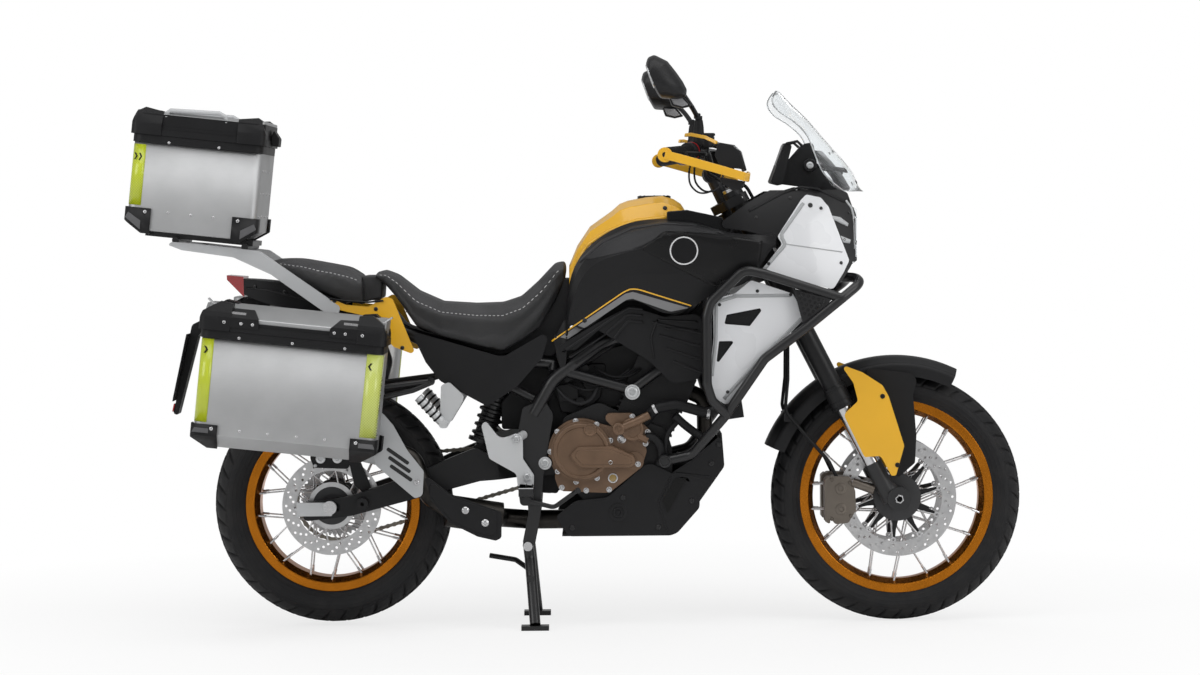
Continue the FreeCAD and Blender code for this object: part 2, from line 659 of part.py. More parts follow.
def swingarm():
    """Two box arms joined ahead of the wheel, with axle blocks and stand bobbins."""
    tip = PIVOT_X + 34
    side_view = [(tip, 448, 20), (PIVOT_X - 20, 452, 20), (-216, 448, 20), (-262, 476, 30), (-331, 449, 60),
                 (-420, 408, 60), (-590, 352, 30), (-715, 334, 12), (-715, 286, 12), (-590, 300, 30), (-421, 344, 60),
                 (-253, 388, 40), (tip, 402, 20)]
    inner = PLATE_IN - 2 * FIT
    plan = [(tip, -80), (tip, -inner), (-162, -inner, 20), (-208, -ARM_OUT, 20), (-716, -ARM_OUT),
            (-716, -ARM_IN), (-222, -ARM_IN, 20), (-180, -80, 20)]
    arm = plate(side_view, -ARM_OUT, -70).common(sheet(plan, 200, 500))
    slot = [(-690, 335, 11), (-690, 311, 11), (-620, 311, 11), (-620, 335, 11)]
    arm = arm.cut(plate(slot, -200, -100))
    bobbin = cross_rod(-560, 332, -ARM_OUT - 22, -ARM_OUT + 1, 32).cut(
        cross_rod(-560, 332, -ARM_OUT - 23, -ARM_OUT + 20, 10))
    arm = arm.cut(cross_rod(-560, 332, -ARM_OUT - 1, -ARM_OUT + 4, 10))
    arm = fused(arm, bobbin)
    bridge = plate([(-216, 440, 14), (-300, 440, 20), (-300, 392, 20), (-216, 400, 14)], -ARM_IN - 4, ARM_IN + 4)
    spindle = cross_rod(PIVOT_X, PIVOT_Z, -84, 84, 44)
    body = fused(arm, mirrored(arm), bridge, spindle)
    keep("swingarm", body.cut(cross_rod(PIVOT_X, PIVOT_Z, -200, 200, 20 + 2 * FIT)))


def pivot_bolt():
    head = PLATE_OUT + FIT
    keep("axle_bolts", fused(cross_rod(PIVOT_X, PIVOT_Z, -head - 6, head + 6, 20),
                             cross_rod(PIVOT_X, PIVOT_Z, -head - 8, -head, 34),
                             cross_rod(PIVOT_X, PIVOT_Z, head, head + 8, 34)))


def rear_shock():
    """Damper with its coil, leaning forward from the swingarm to the frame."""
    low = Vector(-258, 0, 462)
    high = Vector(SHOCK_TOP[0], 0, SHOCK_TOP[1])
    eye_half = SHOCK_PIN_IN - FIT
    length = high.sub(low).Length
    profile = [(0, -8), (15, -8), (15, 18), (38, 18), (38, 28), (27, 30)]
    for i in range(7):
        t = 34 + 22 * i
        profile += [(27, t), (35, t + 4), (35, t + 10), (27, t + 14)]
    profile += [(27, 188), (38, 190), (38, 202), (24, 204), (24, 222), (15, 224), (15, length + 8), (0, length + 8)]
    edge = Part.makePolygon([Vector(r, 0, t) for r, t in profile + profile[:1]])
    body = Part.Face(edge).revolve(Vector(0, 0, 0), Vector(0, 0, 1), 360)
    body.rotate(Vector(0, 0, 0), Vector(0, 1, 0), math.degrees(math.atan2(high.x - low.x, high.z - low.z)))
    body.translate(low)
    keep("rear_shock", fused(body, cross_rod(low.x, low.z, -eye_half, eye_half, 34),
                             cross_rod(high.x, high.z, -eye_half, eye_half, 34)))


def chain():
    """Drive chain, one closed band of rollers' height round both sprockets."""
    far = REAR_AXLE_X - SPROCKET_X
    rise = REAR_AXLE_Z - SPROCKET_Z
    length = math.hypot(far, rise)
    line = math.atan2(rise, far)
    spread = math.acos((FRONT_SPROCKET_R - REAR_SPROCKET_R) / length)

    def band(grow):
        r1 = FRONT_SPROCKET_R + grow
        r2 = REAR_SPROCKET_R + grow
        spots = []
        for turn in (spread, -spread):
            a = line + turn
            spots.append((Vector(SPROCKET_X + r1 * math.cos(a), 0, SPROCKET_Z + r1 * math.sin(a)),
                          Vector(REAR_AXLE_X + r2 * math.cos(a), 0, REAR_AXLE_Z + r2 * math.sin(a))))
        back = Vector(REAR_AXLE_X + r2 * math.cos(line), 0, REAR_AXLE_Z + r2 * math.sin(line))
        front = Vector(SPROCKET_X - r1 * math.cos(line), 0, SPROCKET_Z - r1 * math.sin(line))
        edges = [Part.LineSegment(spots[0][0], spots[0][1]), Part.Arc(spots[0][1], back, spots[1][1]),
                 Part.LineSegment(spots[1][1], spots[1][0]), Part.Arc(spots[1][0], front, spots[0][0])]
        face = Part.Face(Part.Wire([e.toShape() for e in edges]))
        solid = face.extrude(Vector(0, CHAIN_W, 0))
        solid.translate(Vector(0, CHAIN_Y - CHAIN_W / 2, 0))
        return solid

    keep("drive_chain", band(CHAIN_H / 2).cut(band(-CHAIN_H / 2)))
    small = FRONT_SPROCKET_R - CHAIN_H / 2 - 2
    keep("drive_chain", cross_rod(SPROCKET_X, SPROCKET_Z, CHAIN_Y - 21 + FIT, CHAIN_Y + 5, 2 * small))


def rear_brake():
    """Rear axle with its adjuster blocks, and the caliper on its bracket."""
    x, z = REAR_AXLE_X, REAR_AXLE_Z
    keep("axle_bolts", fused(cross_rod(x, z, -ARM_OUT - 12, ARM_OUT + 12, REAR_AXLE_D - 2 * FIT),
                            cross_rod(x, z, -ARM_OUT - 22, -ARM_OUT - 0.5, 36),
                            cross_rod(x, z, ARM_OUT + 0.5, ARM_OUT + 22, 36)))
    y = REAR_DISC_Y
    slot = DISC_T + 3
    body = plate([(-690, 424, 10), (-600, 420, 10), (-590, 446, 8), (-610, 470, 12), (-680, 476, 12), (-700, 452, 8)],
                 -y - 14, 12 - y).cut(block((-720, -560), (-y - slot / 2, -y + slot / 2), (400, 466)))
    hook = plate([(-600, 452, 6), (-585, 380, 14), (-560, 356, 6), (-540, 372, 6), (-572, 450, 10)],
                 -ARM_IN + 0.5, -y - slot / 2 - 1)
    keep("rear_caliper", fused(body, hook))


def centre_stand():
    """Centre stand, down: cross tube on the frame's lugs and two splayed legs."""
    inner = PLATE_IN - 2 * FIT
    pieces = [cross_rod(STAND_X, STAND_Z, -inner, inner, STAND_TUBE)]
    for side in (1, -1):
        foot = (STAND_X + FOOT_LEAD, side * FOOT_Y, STAND_TUBE / 2)
        pieces.append(tube([(STAND_X, side * 92, STAND_Z), (STAND_X + 4, side * 94, STAND_Z - 34), foot],
                           STAND_TUBE, 30))
        pieces.append(block((STAND_X + FOOT_LEAD - 36, STAND_X + FOOT_LEAD + 36),
                            sorted((side * (FOOT_Y - 20), side * (FOOT_Y + 22))), (0, 12)))
    pieces.append(cross_rod(STAND_X + 6, 128, -137, 137, 20))
    toe = tube([(STAND_X + 8, 130, 120), (STAND_X - 40, 170, 150), (STAND_X - 110, 190, 160)], 14, 20)
    body = fused(*(pieces + [toe]))
    body = body.cut(cross_rod(STAND_X, STAND_Z, -200, 200, 14 + 2 * FIT))
    keep("centre_stand", body)
    head = PLATE_OUT + FIT
    keep("axle_bolts", fused(cross_rod(STAND_X, STAND_Z, -head - 6, head + 6, 14),
                             cross_rod(STAND_X, STAND_Z, -head - 8, -head, 24),
                             cross_rod(STAND_X, STAND_Z, head, head + 8, 24)))


# Engine and exhaust

CASE_HALF = 112

def engine():
    """Parallel-twin block: crankcase, leaning cylinders, head and head cover."""
    case = plate([(-36, 550, 20), (-36, 392, 30), (20, 330, 40), (70, 304, 30), (206, 306, 40), (250, 360, 40),
                  (250, 470, 40), (230, 520, 20), (120, 560, 30), (60, 590, 30)], -CASE_HALF, CASE_HALF)
    case = case.cut(block((-80, 46), (CHAIN_Y - 21, CASE_HALF + 1), (360, 520)))
    lean = 24
    cylinder = block((0, 150), (3 - HEAD_HALF, HEAD_HALF - 3), (0, 130))
    fins = []
    for i in range(7):
        fins.append(block((-7, 157), (1 - HEAD_HALF, HEAD_HALF - 1), (8 + 17 * i, 13 + 17 * i)))
    head = block((-8, 158), (-HEAD_HALF, HEAD_HALF), (130, 206))
    cover = plate([(6, 206), (144, 206), (140, 240, 14), (12, 240, 14)], 4 - HEAD_HALF, HEAD_HALF - 4)
    top = fused(cylinder, head, cover, *fins)
    top.translate(Vector(88, 0, 520))
    top.rotate(Vector(88, 0, 520), Vector(0, 1, 0), lean)
    filter_can = rod((256, 0, 424), (318, 0, 404), 56)
    keep("engine", fused(case, top, filter_can))


def engine_covers():
    """Cast side covers: clutch and pump on the right, generator and sprocket on the left."""
    disc = cross_rod(12, 463, -150, -112.3, 158)
    rim = cross_rod(12, 463, -138, -112.3, 172)
    lower = plate([(-60, 400, 30), (-46, 359, 20), (84, 353, 30), (170, 420, 30), (186, 470, 20), (120, 520, 40),
                   (20, 545, 40)], -134, -112.3)
    ridge = plate([(-22, 452, 16), (4, 476, 16), (92, 478, 16), (150, 452, 14), (154, 430, 10), (138, 420, 10),
                   (8, 420, 20)], -160, -112.3)
    clutch = fused(disc, rim, lower, ridge)
    pump = fused(plate([(100, 520, 12), (60, 562, 16), (146, 562, 16), (198, 510, 20), (188, 478, 14),
                        (160, 474, 10)], -140, -112.3), cross_rod(146, 520, -152, -112.3, 56))
    clutch = fused(clutch, pump, cross_rod(150, 436, -140, -112.3, 50))
    clutch = clutch.cut(cross_rod(PIVOT_X, PIVOT_Z, -160, -100, 40))
    generator = fused(cross_rod(92, 456, 112.3, 142, 134), cross_rod(92, 456, 112.3, 154, 96))
    keep("engine_covers", clutch, generator)
    cap = plate([(-44, 486, 20), (-16, 546, 16), (20, 546, 16), (22, 440, 20), (10, 372, 20), (-40, 376, 20)],
                CASE_HALF + 4, CASE_HALF + 16)
    foot = cross_rod(2, 530, CASE_HALF + FIT, CASE_HALF + 16, 28)
    keep("engine", fused(cap, foot))


def radiator():
    core = block((0, 32), (-150, 150), (0, 230))
    tanks = [block((-4, 36), (-178, -148), (-6, 236)), block((-4, 36), (148, 178), (-6, 236))]
    body = fused(core, *tanks)
    body.rotate(Vector(0, 0, 0), Vector(0, 1, 0), -8)
    body.translate(Vector(400, 0, 552))
    hoses = [tube([(396, -162, 590), (345, -158, 560), (262, -152, 584), (205, -146, 574), (180, -126, 540)], 28, 40),
             tube([(374, 90, 760), (325, 84, 762), (280, 70, 735), (262, 66, 700)], 28, 30)]
    keep("radiator", clear(fused(body, *hoses), "engine", "engine_covers", "main_frame"))


def exhaust():
    """Two header pipes joining under the engine, a box on the right and the pipe to the silencer."""
    pieces = []
    for side in (1, -1):
        pieces.append(tube([(300, side * 50, 609.4), (338, side * 51, 592), (340, side * 50, 440),
                            (236, side * 36, 282), (120, side * 22, 276)], 38, 46))
    pieces.append(tube([(140, 0, 274), (-130, 0, 274), (-206, -44, 284), (-228, -130, 292)], 50, 40))
    pieces.append(rod((-200, -126, 288), (-340, -148, 312), 84))
    start = Vector(-478, -158, 474)
    way = Vector(-0.971, 0, 0.239)
    pieces.append(tube([(-330, -148, 310), (-388, -176, 352), (-424, -176, 452), tuple(start)], 44, 40))
    keep("exhaust_pipes", clear(fused(*pieces), "engine"))
    can = fused(rod(tuple(start - way * 6), tuple(start + way * 24), 66),
                rod(tuple(start + way * 20), tuple(start + way * 392), 100),
                rod(tuple(start + way * 380), tuple(start + way * 428), 44))
    keep("silencer", clear(can, "exhaust_pipes"))
    guard = plate([(-522, 590, 20), (-496, 566, 14), (-474, 540, 20), (-438, 474, 20), (-396, 420, 14),
                   (-400, 356, 14), (-420, 350, 10), (-520, 436, 14), (-536, 500, 20)], -214, -211)
    for k in range(3):
        slot = plate([(-430 - 4 * k, 392 + 22 * k, 4), (-424 - 4 * k, 400 + 22 * k, 4),
                      (-480 - 4 * k, 440 + 22 * k, 4), (-486 - 4 * k, 432 + 22 * k, 4)], -240, -200)
        guard = guard.cut(slot)
    studs = [cross_rod(-512, 486, -212, -190, 16), cross_rod(-414, 392, -212, -176, 14)]
    keep("silencer", clear(fused(guard, *studs), "silencer", "exhaust_pipes"))


CRASH_MOUNT = (230, 436)
CRASH_BOSS_D = 34


def skid_plate():
    """Engine guard: bottom sheet and two sides, on bosses to the crankcase."""
    base = [(-40, 240), (244, 240, 30), (262, 247, 30), (386, 420, 20), (380, 506), (374, 504),
            (379, 424, 20), (256, 254, 24), (242, 246, 24), (-40, 246)]
    keel = plate(base, -128, 128)
    outline = [(-56, 292, 10), (-24, 240, 20), (244, 240, 30), (262, 247, 30), (320, 312, 20), (322, 366, 20),
               (187, 433, 30), (79, 341, 30), (-4, 333, 30)]
    wall = plate(outline, -134, -127)
    wing = plate([(262, 247, 30), (386, 420, 20), (380, 505, 10), (300, 436, 30), (240, 400, 30)], -134, -127)
    wing = wing.cut(plate([(270, 394, 10), (302, 388, 10), (232, 300, 10), (218, 328, 10)], -140, -120))
    wing = wing.cut(cross_rod(*CRASH_MOUNT, -150, -100, CRASH_BOSS_D + 6))
    boss = cross_rod(120, 340, -129, -CASE_HALF - FIT, 22)
    side = fused(wall, wing, boss)
    keep("skid_plate", fused(keel, side, mirrored(side)))


def crash_bars():
    """Welded tube guards each side of the shrouds."""
    for side in (1, -1):
        low = tube([(CRASH_MOUNT[0], side * 150, CRASH_MOUNT[1]), (300, side * 156, 452), (384, side * 236, 556),
                    (486, side * 272, 706), (585, side * 278, 779), (690, side * 264, 862), (738, side * 236, 899),
                    (728, side * 176, 912), (672, side * 148, 912)], 25, 40)
        high = tube([(686, side * 264, 860), (486, side * 276, 925), (436, side * 276, 936), (348, side * 276, 852),
                     (338, side * 276, 815), (338, side * 274, 640), (350, side * 264, 600), (388, side * 242, 562)],
                    25, 36)
        gusset = plate([(563, 882), (661, 858), (640, 834), (588, 786)], *sorted((side * 268, side * 272)))
        boss = cross_rod(*CRASH_MOUNT, *sorted((side * (CASE_HALF + FIT), side * 158)), CRASH_BOSS_D)
        keep("crash_bars", fused(low, high, gusset, boss))


# Bodywork

TANK_STATIONS = [
    (-16, 948, 84), (6, 1000, 96), (40, 1050, 112), (97, 1092, 130), (140, 1118, 142), (190, 1129, 150),
    (235, 1129, 152), (275, 1112, 146), (292, 1085, 130)]
TANK_LOW = 856


def fuel_tank():
    """Painted tank: crowned top with rounded shoulders."""
    stations = []
    for x, top, half in TANK_STATIONS:
        shoulder = top - 0.42 * half
        stations.append((x, [(0, top), (half * 0.55, top - 10), (half * 0.9, (top + shoulder) / 2 + 6),
                             (half, shoulder), (half, (shoulder + TANK_LOW) / 2), (half - 2, TANK_LOW)]))
    tank = hood(stations)
    neck = cross_cap(214, 1124, 36, 14)
    keep("fuel_tank", fused(tank, neck))


def cross_cap(x, z, radius, height):
    return Part.makeCylinder(radius, height, Vector(x, 0, z))


COVER_STATIONS = [
    (-56, 766, 112, 752, 136, 736, 134, 100),
    (-20, 872, 112, 815, 152, 765, 146, 98),
    (12, 968, 116, 905, 176, 784, 156, 98),
    (70, 1024, 134, 962, 200, 816, 172, 130),
    (150, 1060, 152, 988, 226, 858, 196, 147),
    (235, 1068, 160, 1026, 243, 824, 214, 154),
    (300, 1063, 170, 1030, 246, 840, 218, 162),
    (385, 1037, 184, 1020, 244, 882, 224, 170),
    (470, 1027, 200, 1010, 240, 930, 230, 196),
    (520, 1018, 216, 1011, 234, 990, 230, 212)]


def tank_covers():
    """Wide side covers with a long crease, from the seat's nose to the shrouds."""
    stations = []
    for x, top, top_y, mid, mid_y, low, low_y, inner in COVER_STATIONS:
        stations.append((x, [(-inner, top - 8), (-top_y, top), (-(top_y + mid_y) / 2 - 6, (top + mid) / 2 + 6),
                             (-mid_y, mid), (-(mid_y + low_y) / 2 - 3, (mid + low) / 2), (-low_y, low),
                             (-inner, low + 2)]))
    cover = facets(stations)
    both("tank_covers", clear(cover, "fuel_tank", "main_frame", room=2 * FIT))


def lower_panels():
    """Dark inner panels below the tank covers, with raised ribs."""
    outline = [(-66, 726, 8), (59, 800, 20), (141, 842, 20), (235, 812, 20), (326, 822, 20), (338, 700, 20),
               (320, 650, 20), (250, 640, 30), (190, 700, 20), (60, 780), (0, 730, 10)]
    panel = plate(outline, -170, -160)
    ribs = []
    for i in range(4):
        ribs.append(rod((200 + 18 * i, -168, 800 - 34 * i), (326, -168, 800 - 34 * i - 30), 9))
    stay = rod((250, -162, 700), (250, -112, 700), 16)
    both("side_panels", clear(fused(panel, stay, *ribs), "main_frame"))


SHROUD_LINES = [
    (320, [(178, 1140), (226, 1040), (252, 930), (262, 820), (258, 700), (236, 580), (212, 480)]),
    (470, [(176, 1140), (222, 1040), (246, 930), (254, 820), (246, 700), (220, 580), (196, 480)]),
    (600, [(170, 1140), (206, 1040), (228, 930), (238, 820), (232, 700), (206, 580), (182, 480)]),
    (730, [(130, 1140), (158, 1040), (184, 930), (200, 820), (196, 700), (176, 580), (150, 480)])]


def shrouds():
    """White radiator shrouds: an upper and a lower panel each side."""
    skin = side_skin(SHROUD_LINES, 6)
    upper = cut_from(skin, [(602, 1128, 8), (640, 1120, 12), (660, 1096, 10), (712, 956, 12), (696, 925, 10),
                            (668, 882, 12), (478, 930, 10), (536, 1000, 8), (524, 1020, 8), (588, 1114, 10)])
    lower = cut_from(skin, [(455, 908, 10), (562, 872, 10), (594, 810, 14), (540, 757, 10), (478, 702, 10),
                            (390, 584, 12), (360, 604, 10), (345, 660, 14), (356, 760, 20), (356, 860, 14),
                            (413, 875, 10)])
    window = plate([(384, 796, 4), (390, 820, 4), (477, 836, 4), (480, 829, 4), (450, 790, 4)], -400, -20)
    slot = plate([(370, 752, 4), (410, 752, 4), (362, 688, 4)], -400, -20)
    clip = rod((404, -150, 700), (404, -256, 700), 16).cut(skin.translated(Vector(0, -3, 0)))
    both("shrouds", upper[0], lower[0].cut(window).cut(slot).fuse(clear(clip, "radiator")))


def nose_cowl():
    """Black cowl arms beside the dash, joined by the piece under the windscreen."""
    skin = side_skin([(x, [(y - 6.3, z) for y, z in line]) for x, line in SHROUD_LINES], 6)
    arm = cut_from(skin, [(362, 1046, 12), (453, 1110, 30), (541, 1158, 30), (590, 1174, 14), (640, 1163, 14),
                          (712, 1132, 10), (736, 1060, 20), (738, 985, 10), (716, 940, 10), (690, 900, 10),
                          (600, 905, 10), (524, 1015, 10), (440, 1036, 20)])[0]
    bridge = block((690, 716), (-140, 140), (1102, 1117))
    keep("nose_cowl", clear(fused(arm, mirrored(arm), bridge), "tank_covers"))


def headlight():
    """Headlight unit between the cowl arms: black housing behind a clear lens."""
    housing = facets([(650, [(-110, 960), (-120, 1090), (120, 1090), (110, 960)]),
                      (700, [(-120, 935), (-132, 1100), (132, 1100), (120, 935)]),
                      (724, [(-112, 945), (-122, 1096), (122, 1096), (112, 945)])])
    ears = [rod((690, side * 112, 1020), (690, side * 190, 1020), 20) for side in (1, -1)]
    lug = clear(fused(housing, *ears), "nose_cowl", "shrouds", room=FIT)
    keep("headlight", lug)
    lens = facets([(724.5, [(-112, 945), (-122, 1096), (122, 1096), (112, 945)]),
                   (738, [(-104, 955), (-114, 1088), (114, 1088), (104, 955)])])
    keep("headlight_lens", lens)


SCREEN_T = 4
SCREEN_LEVELS = [
    (1136, 764, 706, 118), (1180, 738, 656, 122), (1230, 700, 632, 120), (1280, 656, 612, 118),
    (1316, 626, 578, 140), (1345, 598, 536, 152), (1375, 567, 520, 128), (1398, 543, 530, 70)]


def windscreen():
    """Clear screen, curved across and leaning back."""
    wires = []
    for z, middle, edge, half in SCREEN_LEVELS:
        outer = Part.Arc(Vector(edge, -half, z), Vector(middle, 0, z), Vector(edge, half, z)).toShape()
        inner = Part.Arc(Vector(edge - SCREEN_T, half - 1, z), Vector(middle - SCREEN_T * 1.3, 0, z),
                         Vector(edge - SCREEN_T, 1 - half, z)).toShape()
        ends = [(Vector(edge, half, z), Vector(edge - SCREEN_T, half - 1, z)),
                (Vector(edge - SCREEN_T, 1 - half, z), Vector(edge, -half, z))]
        sides = [Part.LineSegment(a, b).toShape() for a, b in ends]
        wires.append(Part.Wire([outer, sides[0], inner, sides[1]]))
    keep("windscreen", Part.makeLoft(wires, True, False))


def dash():
    """Instrument screen and the carrier that holds it and the windscreen."""
    screen = plate([(555, 1268, 6), (571, 1257, 6), (545, 1153, 6), (514, 1161, 6)], -86, 86)
    carrier = []
    for side in (1, -1):
        low, high = sorted((side * 52, side * 60))
        carrier.append(plate([(540, 1190, 8), (604, 1262, 10), (628, 1266, 10), (640, 1200, 20), (700, 1146, 8),
                              (704, 1117.3), (672, 1117.3, 6), (600, 1150, 10), (530, 1160, 8)], low, high))
        carrier.append(rod((636, side * 56, 1204), (726, side * 62, 1188), 12))
        carrier.append(cross_rod(618, 1205, *sorted((side * 56, side * 76)), 34))
    tie = cross_rod(620, 1140, -60, 60, 14)
    keep("dash", clear(fused(screen, tie, *carrier), "windscreen"))


# Seats and tail

def seat(stations):
    rows = []
    for x, top, half, low in stations:
        drop = top - low
        rows.append((x, [(0, top), (half * 0.55, top - 4), (half * 0.88, top - 0.14 * drop - 4),
                         (half, top - 0.38 * drop), (half * 0.98, low + 0.25 * drop), (half * 0.94, low)]))
    return hood(rows)


RIDER_STATIONS = [
    (-530, 938, 92, 922), (-500, 941, 112, 904), (-468, 928, 124, 868), (-416, 886, 140, 792),
    (-350, 856, 152, 766), (-260, 850, 154, 742), (-190, 852, 146, 726), (-140, 868, 132, 752),
    (-95, 908, 112, 784), (-50, 956, 94, 858), (-22, 966, 80, 918)]
PILLION_STATIONS = [
    (-812, 968, 70, 952), (-780, 976, 100, 926), (-720, 973, 118, 900), (-640, 958, 124, 873),
    (-600, 950, 126, 858), (-552, 934, 118, 850)]


def seats():
    keep("rider_seat", seat(RIDER_STATIONS))
    keep("passenger_seat", seat(PILLION_STATIONS))


def side_panels():
    """Black panels under the rider's seat, in two steps each side."""
    upper = plate([(-430, 782, 10), (-204, 715, 12), (-184, 715, 10), (-66, 782, 12), (-88, 708, 14),
                   (-154, 634, 20), (-232, 583, 10), (-354, 650, 20), (-392, 700, 20)], -144, -136)
    lower = plate([(-232, 580, 8), (-154, 630, 20), (-82, 672, 10), (-104, 627, 10), (-141, 568, 8),
                   (-234, 548, 14), (-316, 618, 20), (-350, 646, 10)], -150, -142)
    pin = rod((-300, -138, 680), (-300, -90, 690), 14)
    both("side_panels", clear(fused(upper, lower, pin), "rear_subframe"))


def tail():
    """Tail: painted panels, black cover with the plate holder, and the tail light."""
    yellow = plate([(-664, 883, 10), (-600, 852, 30), (-540, 846, 10), (-494, 872, 10), (-476, 866, 8),
                    (-416, 718, 8), (-478, 742, 20), (-512, 814, 30), (-614, 838, 20)], -146, -140)
    stay = rod((-500, -141, 830), (-500, -88, 796), 14)
    both("tail_panels", clear(fused(yellow, stay), "rear_subframe"))
    cover = facets([(-872, [(-60, 880), (-66, 920), (66, 920), (60, 880)]),
                    (-812, [(-84, 856), (-104, 915), (104, 915), (84, 856)]),
                    (-720, [(-104, 838), (-122, 898), (122, 898), (104, 838)]),
                    (-640, [(-108, 826), (-126, 872), (126, 872), (108, 826)]),
                    (-600, [(-108, 816), (-126, 856), (126, 856), (108, 816)])])
    hollow = facets([(-866, [(-54, 870), (-60, 886), (60, 886), (54, 870)]),
                     (-812, [(-78, 840), (-92, 902), (92, 902), (78, 840)]),
                     (-720, [(-98, 820), (-116, 890), (116, 890), (98, 820)]),
                     (-640, [(-102, 800), (-120, 866), (120, 866), (102, 800)]),
                     (-590, [(-102, 790), (-120, 850), (120, 850), (102, 790)])])
    keep("tail_cover", cover.cut(hollow))
    keep("tail_light", facets([(-918, [(-48, 918), (-52, 930), (52, 930), (48, 918)]),
                               (-872.5, [(-58, 872), (-66, 926), (66, 926), (58, 872)])]))
    top = Vector(-1014, 0, 800)
    foot = Vector(-1066, 0, 566)
    hanger = plate([(-780, 868, 6), (-872, 868, 10), (top.x, top.z, 14), (foot.x, foot.z, 6), (-1054, 560, 6),
                    (-996, 776, 20), (-840, 846, 10), (-780, 850, 6)], -30, 30)
    down = foot - top
    down.normalize()
    back = Vector(down.z, 0, -down.x)
    high = top + down * 24 + back * FIT
    low = top + down * 204 + back * FIT
    number = plate([(p.x, p.z) for p in (high, low, low + back * 2, high + back * 2)], -95, 95)
    keep("tail_cover", clear(hanger, "rear_subframe", room=FIT), number)


# Luggage

RACK_IN = 128
RACK_OUT = 148


def rack():
    """Cast rack arms, carrier plate for the top box, and tube rails for the panniers."""
    arm = plate([(-1060, 1012, 8), (-1050, 1020, 6), (-985, 1014, 10), (-822, 994, 20), (-734, 932, 20),
                 (-612, 846, 10), (-618, 828, 8), (-650, 830, 8), (-792, 932, 30), (-890, 978, 20),
                 (-1024, 998, 10)], -RACK_OUT, -RACK_IN)
    foot = rod((-634, -RACK_IN - 2, 838), (-634, -84, 840), 20)
    tie = cross_rod(-1000, 1004, -RACK_IN - 2, RACK_IN + 2, 16)
    keep("rack_arms", clear(fused(arm, mirrored(arm), foot, mirrored(foot), tie),
                            "rear_subframe", "tail_cover", "tail_panels", room=FIT))
    carrier = block((-122, 160), (-118, 118), (TOPBOX_LOW - 14, TOPBOX_LOW - 1))
    carrier.rotate(Vector(0, 0, 0), Vector(0, 1, 0), TOPBOX_PITCH)
    carrier.translate(Vector(TOPBOX_X, 0, TOPBOX_Z))
    bars = [cross_rod(-1040, 1024, -RACK_OUT, RACK_OUT, 18), cross_rod(-860, 1004, -RACK_OUT, RACK_OUT, 18)]
    keep("pannier_rails", clear(fused(carrier, *bars), "rack_arms"))


def pannier_frames():
    """Tube hoops that carry the panniers on rubber pucks."""
    y = 14 - PANNIER_IN_Y
    hoop = tube([(-660, -90, 850), (-660, y, 790), (-900, y, 790), (-926, y, 640), (-700, y, 584), (-530, y, 600),
                 (-506, y, 690), (-530, y, 760), (-640, y, 768)], 16, 40)
    spots = ((-850, 790), (-560, 762), (-750, 594))
    pucks = [cross_rod(x, z, FIT - PANNIER_IN_Y, y + 4, 30) for x, z in spots]
    both("pannier_rails", clear(fused(hoop, *pucks), "rear_subframe", "rack_arms", "tail_cover", room=FIT))


def footprint(x_low, x_high, y_low, y_high, bottom, top):
    """Upright block with rounded corners in plan."""
    return sheet([(x_low, y_low, CASE_R), (x_high, y_low, CASE_R), (x_high, y_high, CASE_R), (x_low, y_high, CASE_R)],
                 bottom, top)


def lid_blocks(half_l, y_in, y_out, seam, rise, both_sides):
    """Raised corners of a lid: each is its side outline crossed with its end outline."""
    blocks = []
    for end in (1, -1):
        for wall, way in ((y_out, 1), (y_in, -1)):
            proud_x = 0 if end == 1 else LID_BLOCK_PROUD
            proud_y = LID_BLOCK_PROUD if way == 1 or both_sides else 0
            side = [(end * (half_l + proud_x + a), seam + b * rise) for a, b in LID_BLOCK]
            face = [(wall + way * (proud_y + a), seam + b * rise) for a, b in LID_BLOCK]
            upright = plate(side, y_in - 2 * LID_BLOCK_PROUD, y_out + 2 * LID_BLOCK_PROUD)
            blocks.append(upright.common(slab(face, -half_l - 2 * LID_BLOCK_PROUD, half_l + 2 * LID_BLOCK_PROUD)))
    return blocks


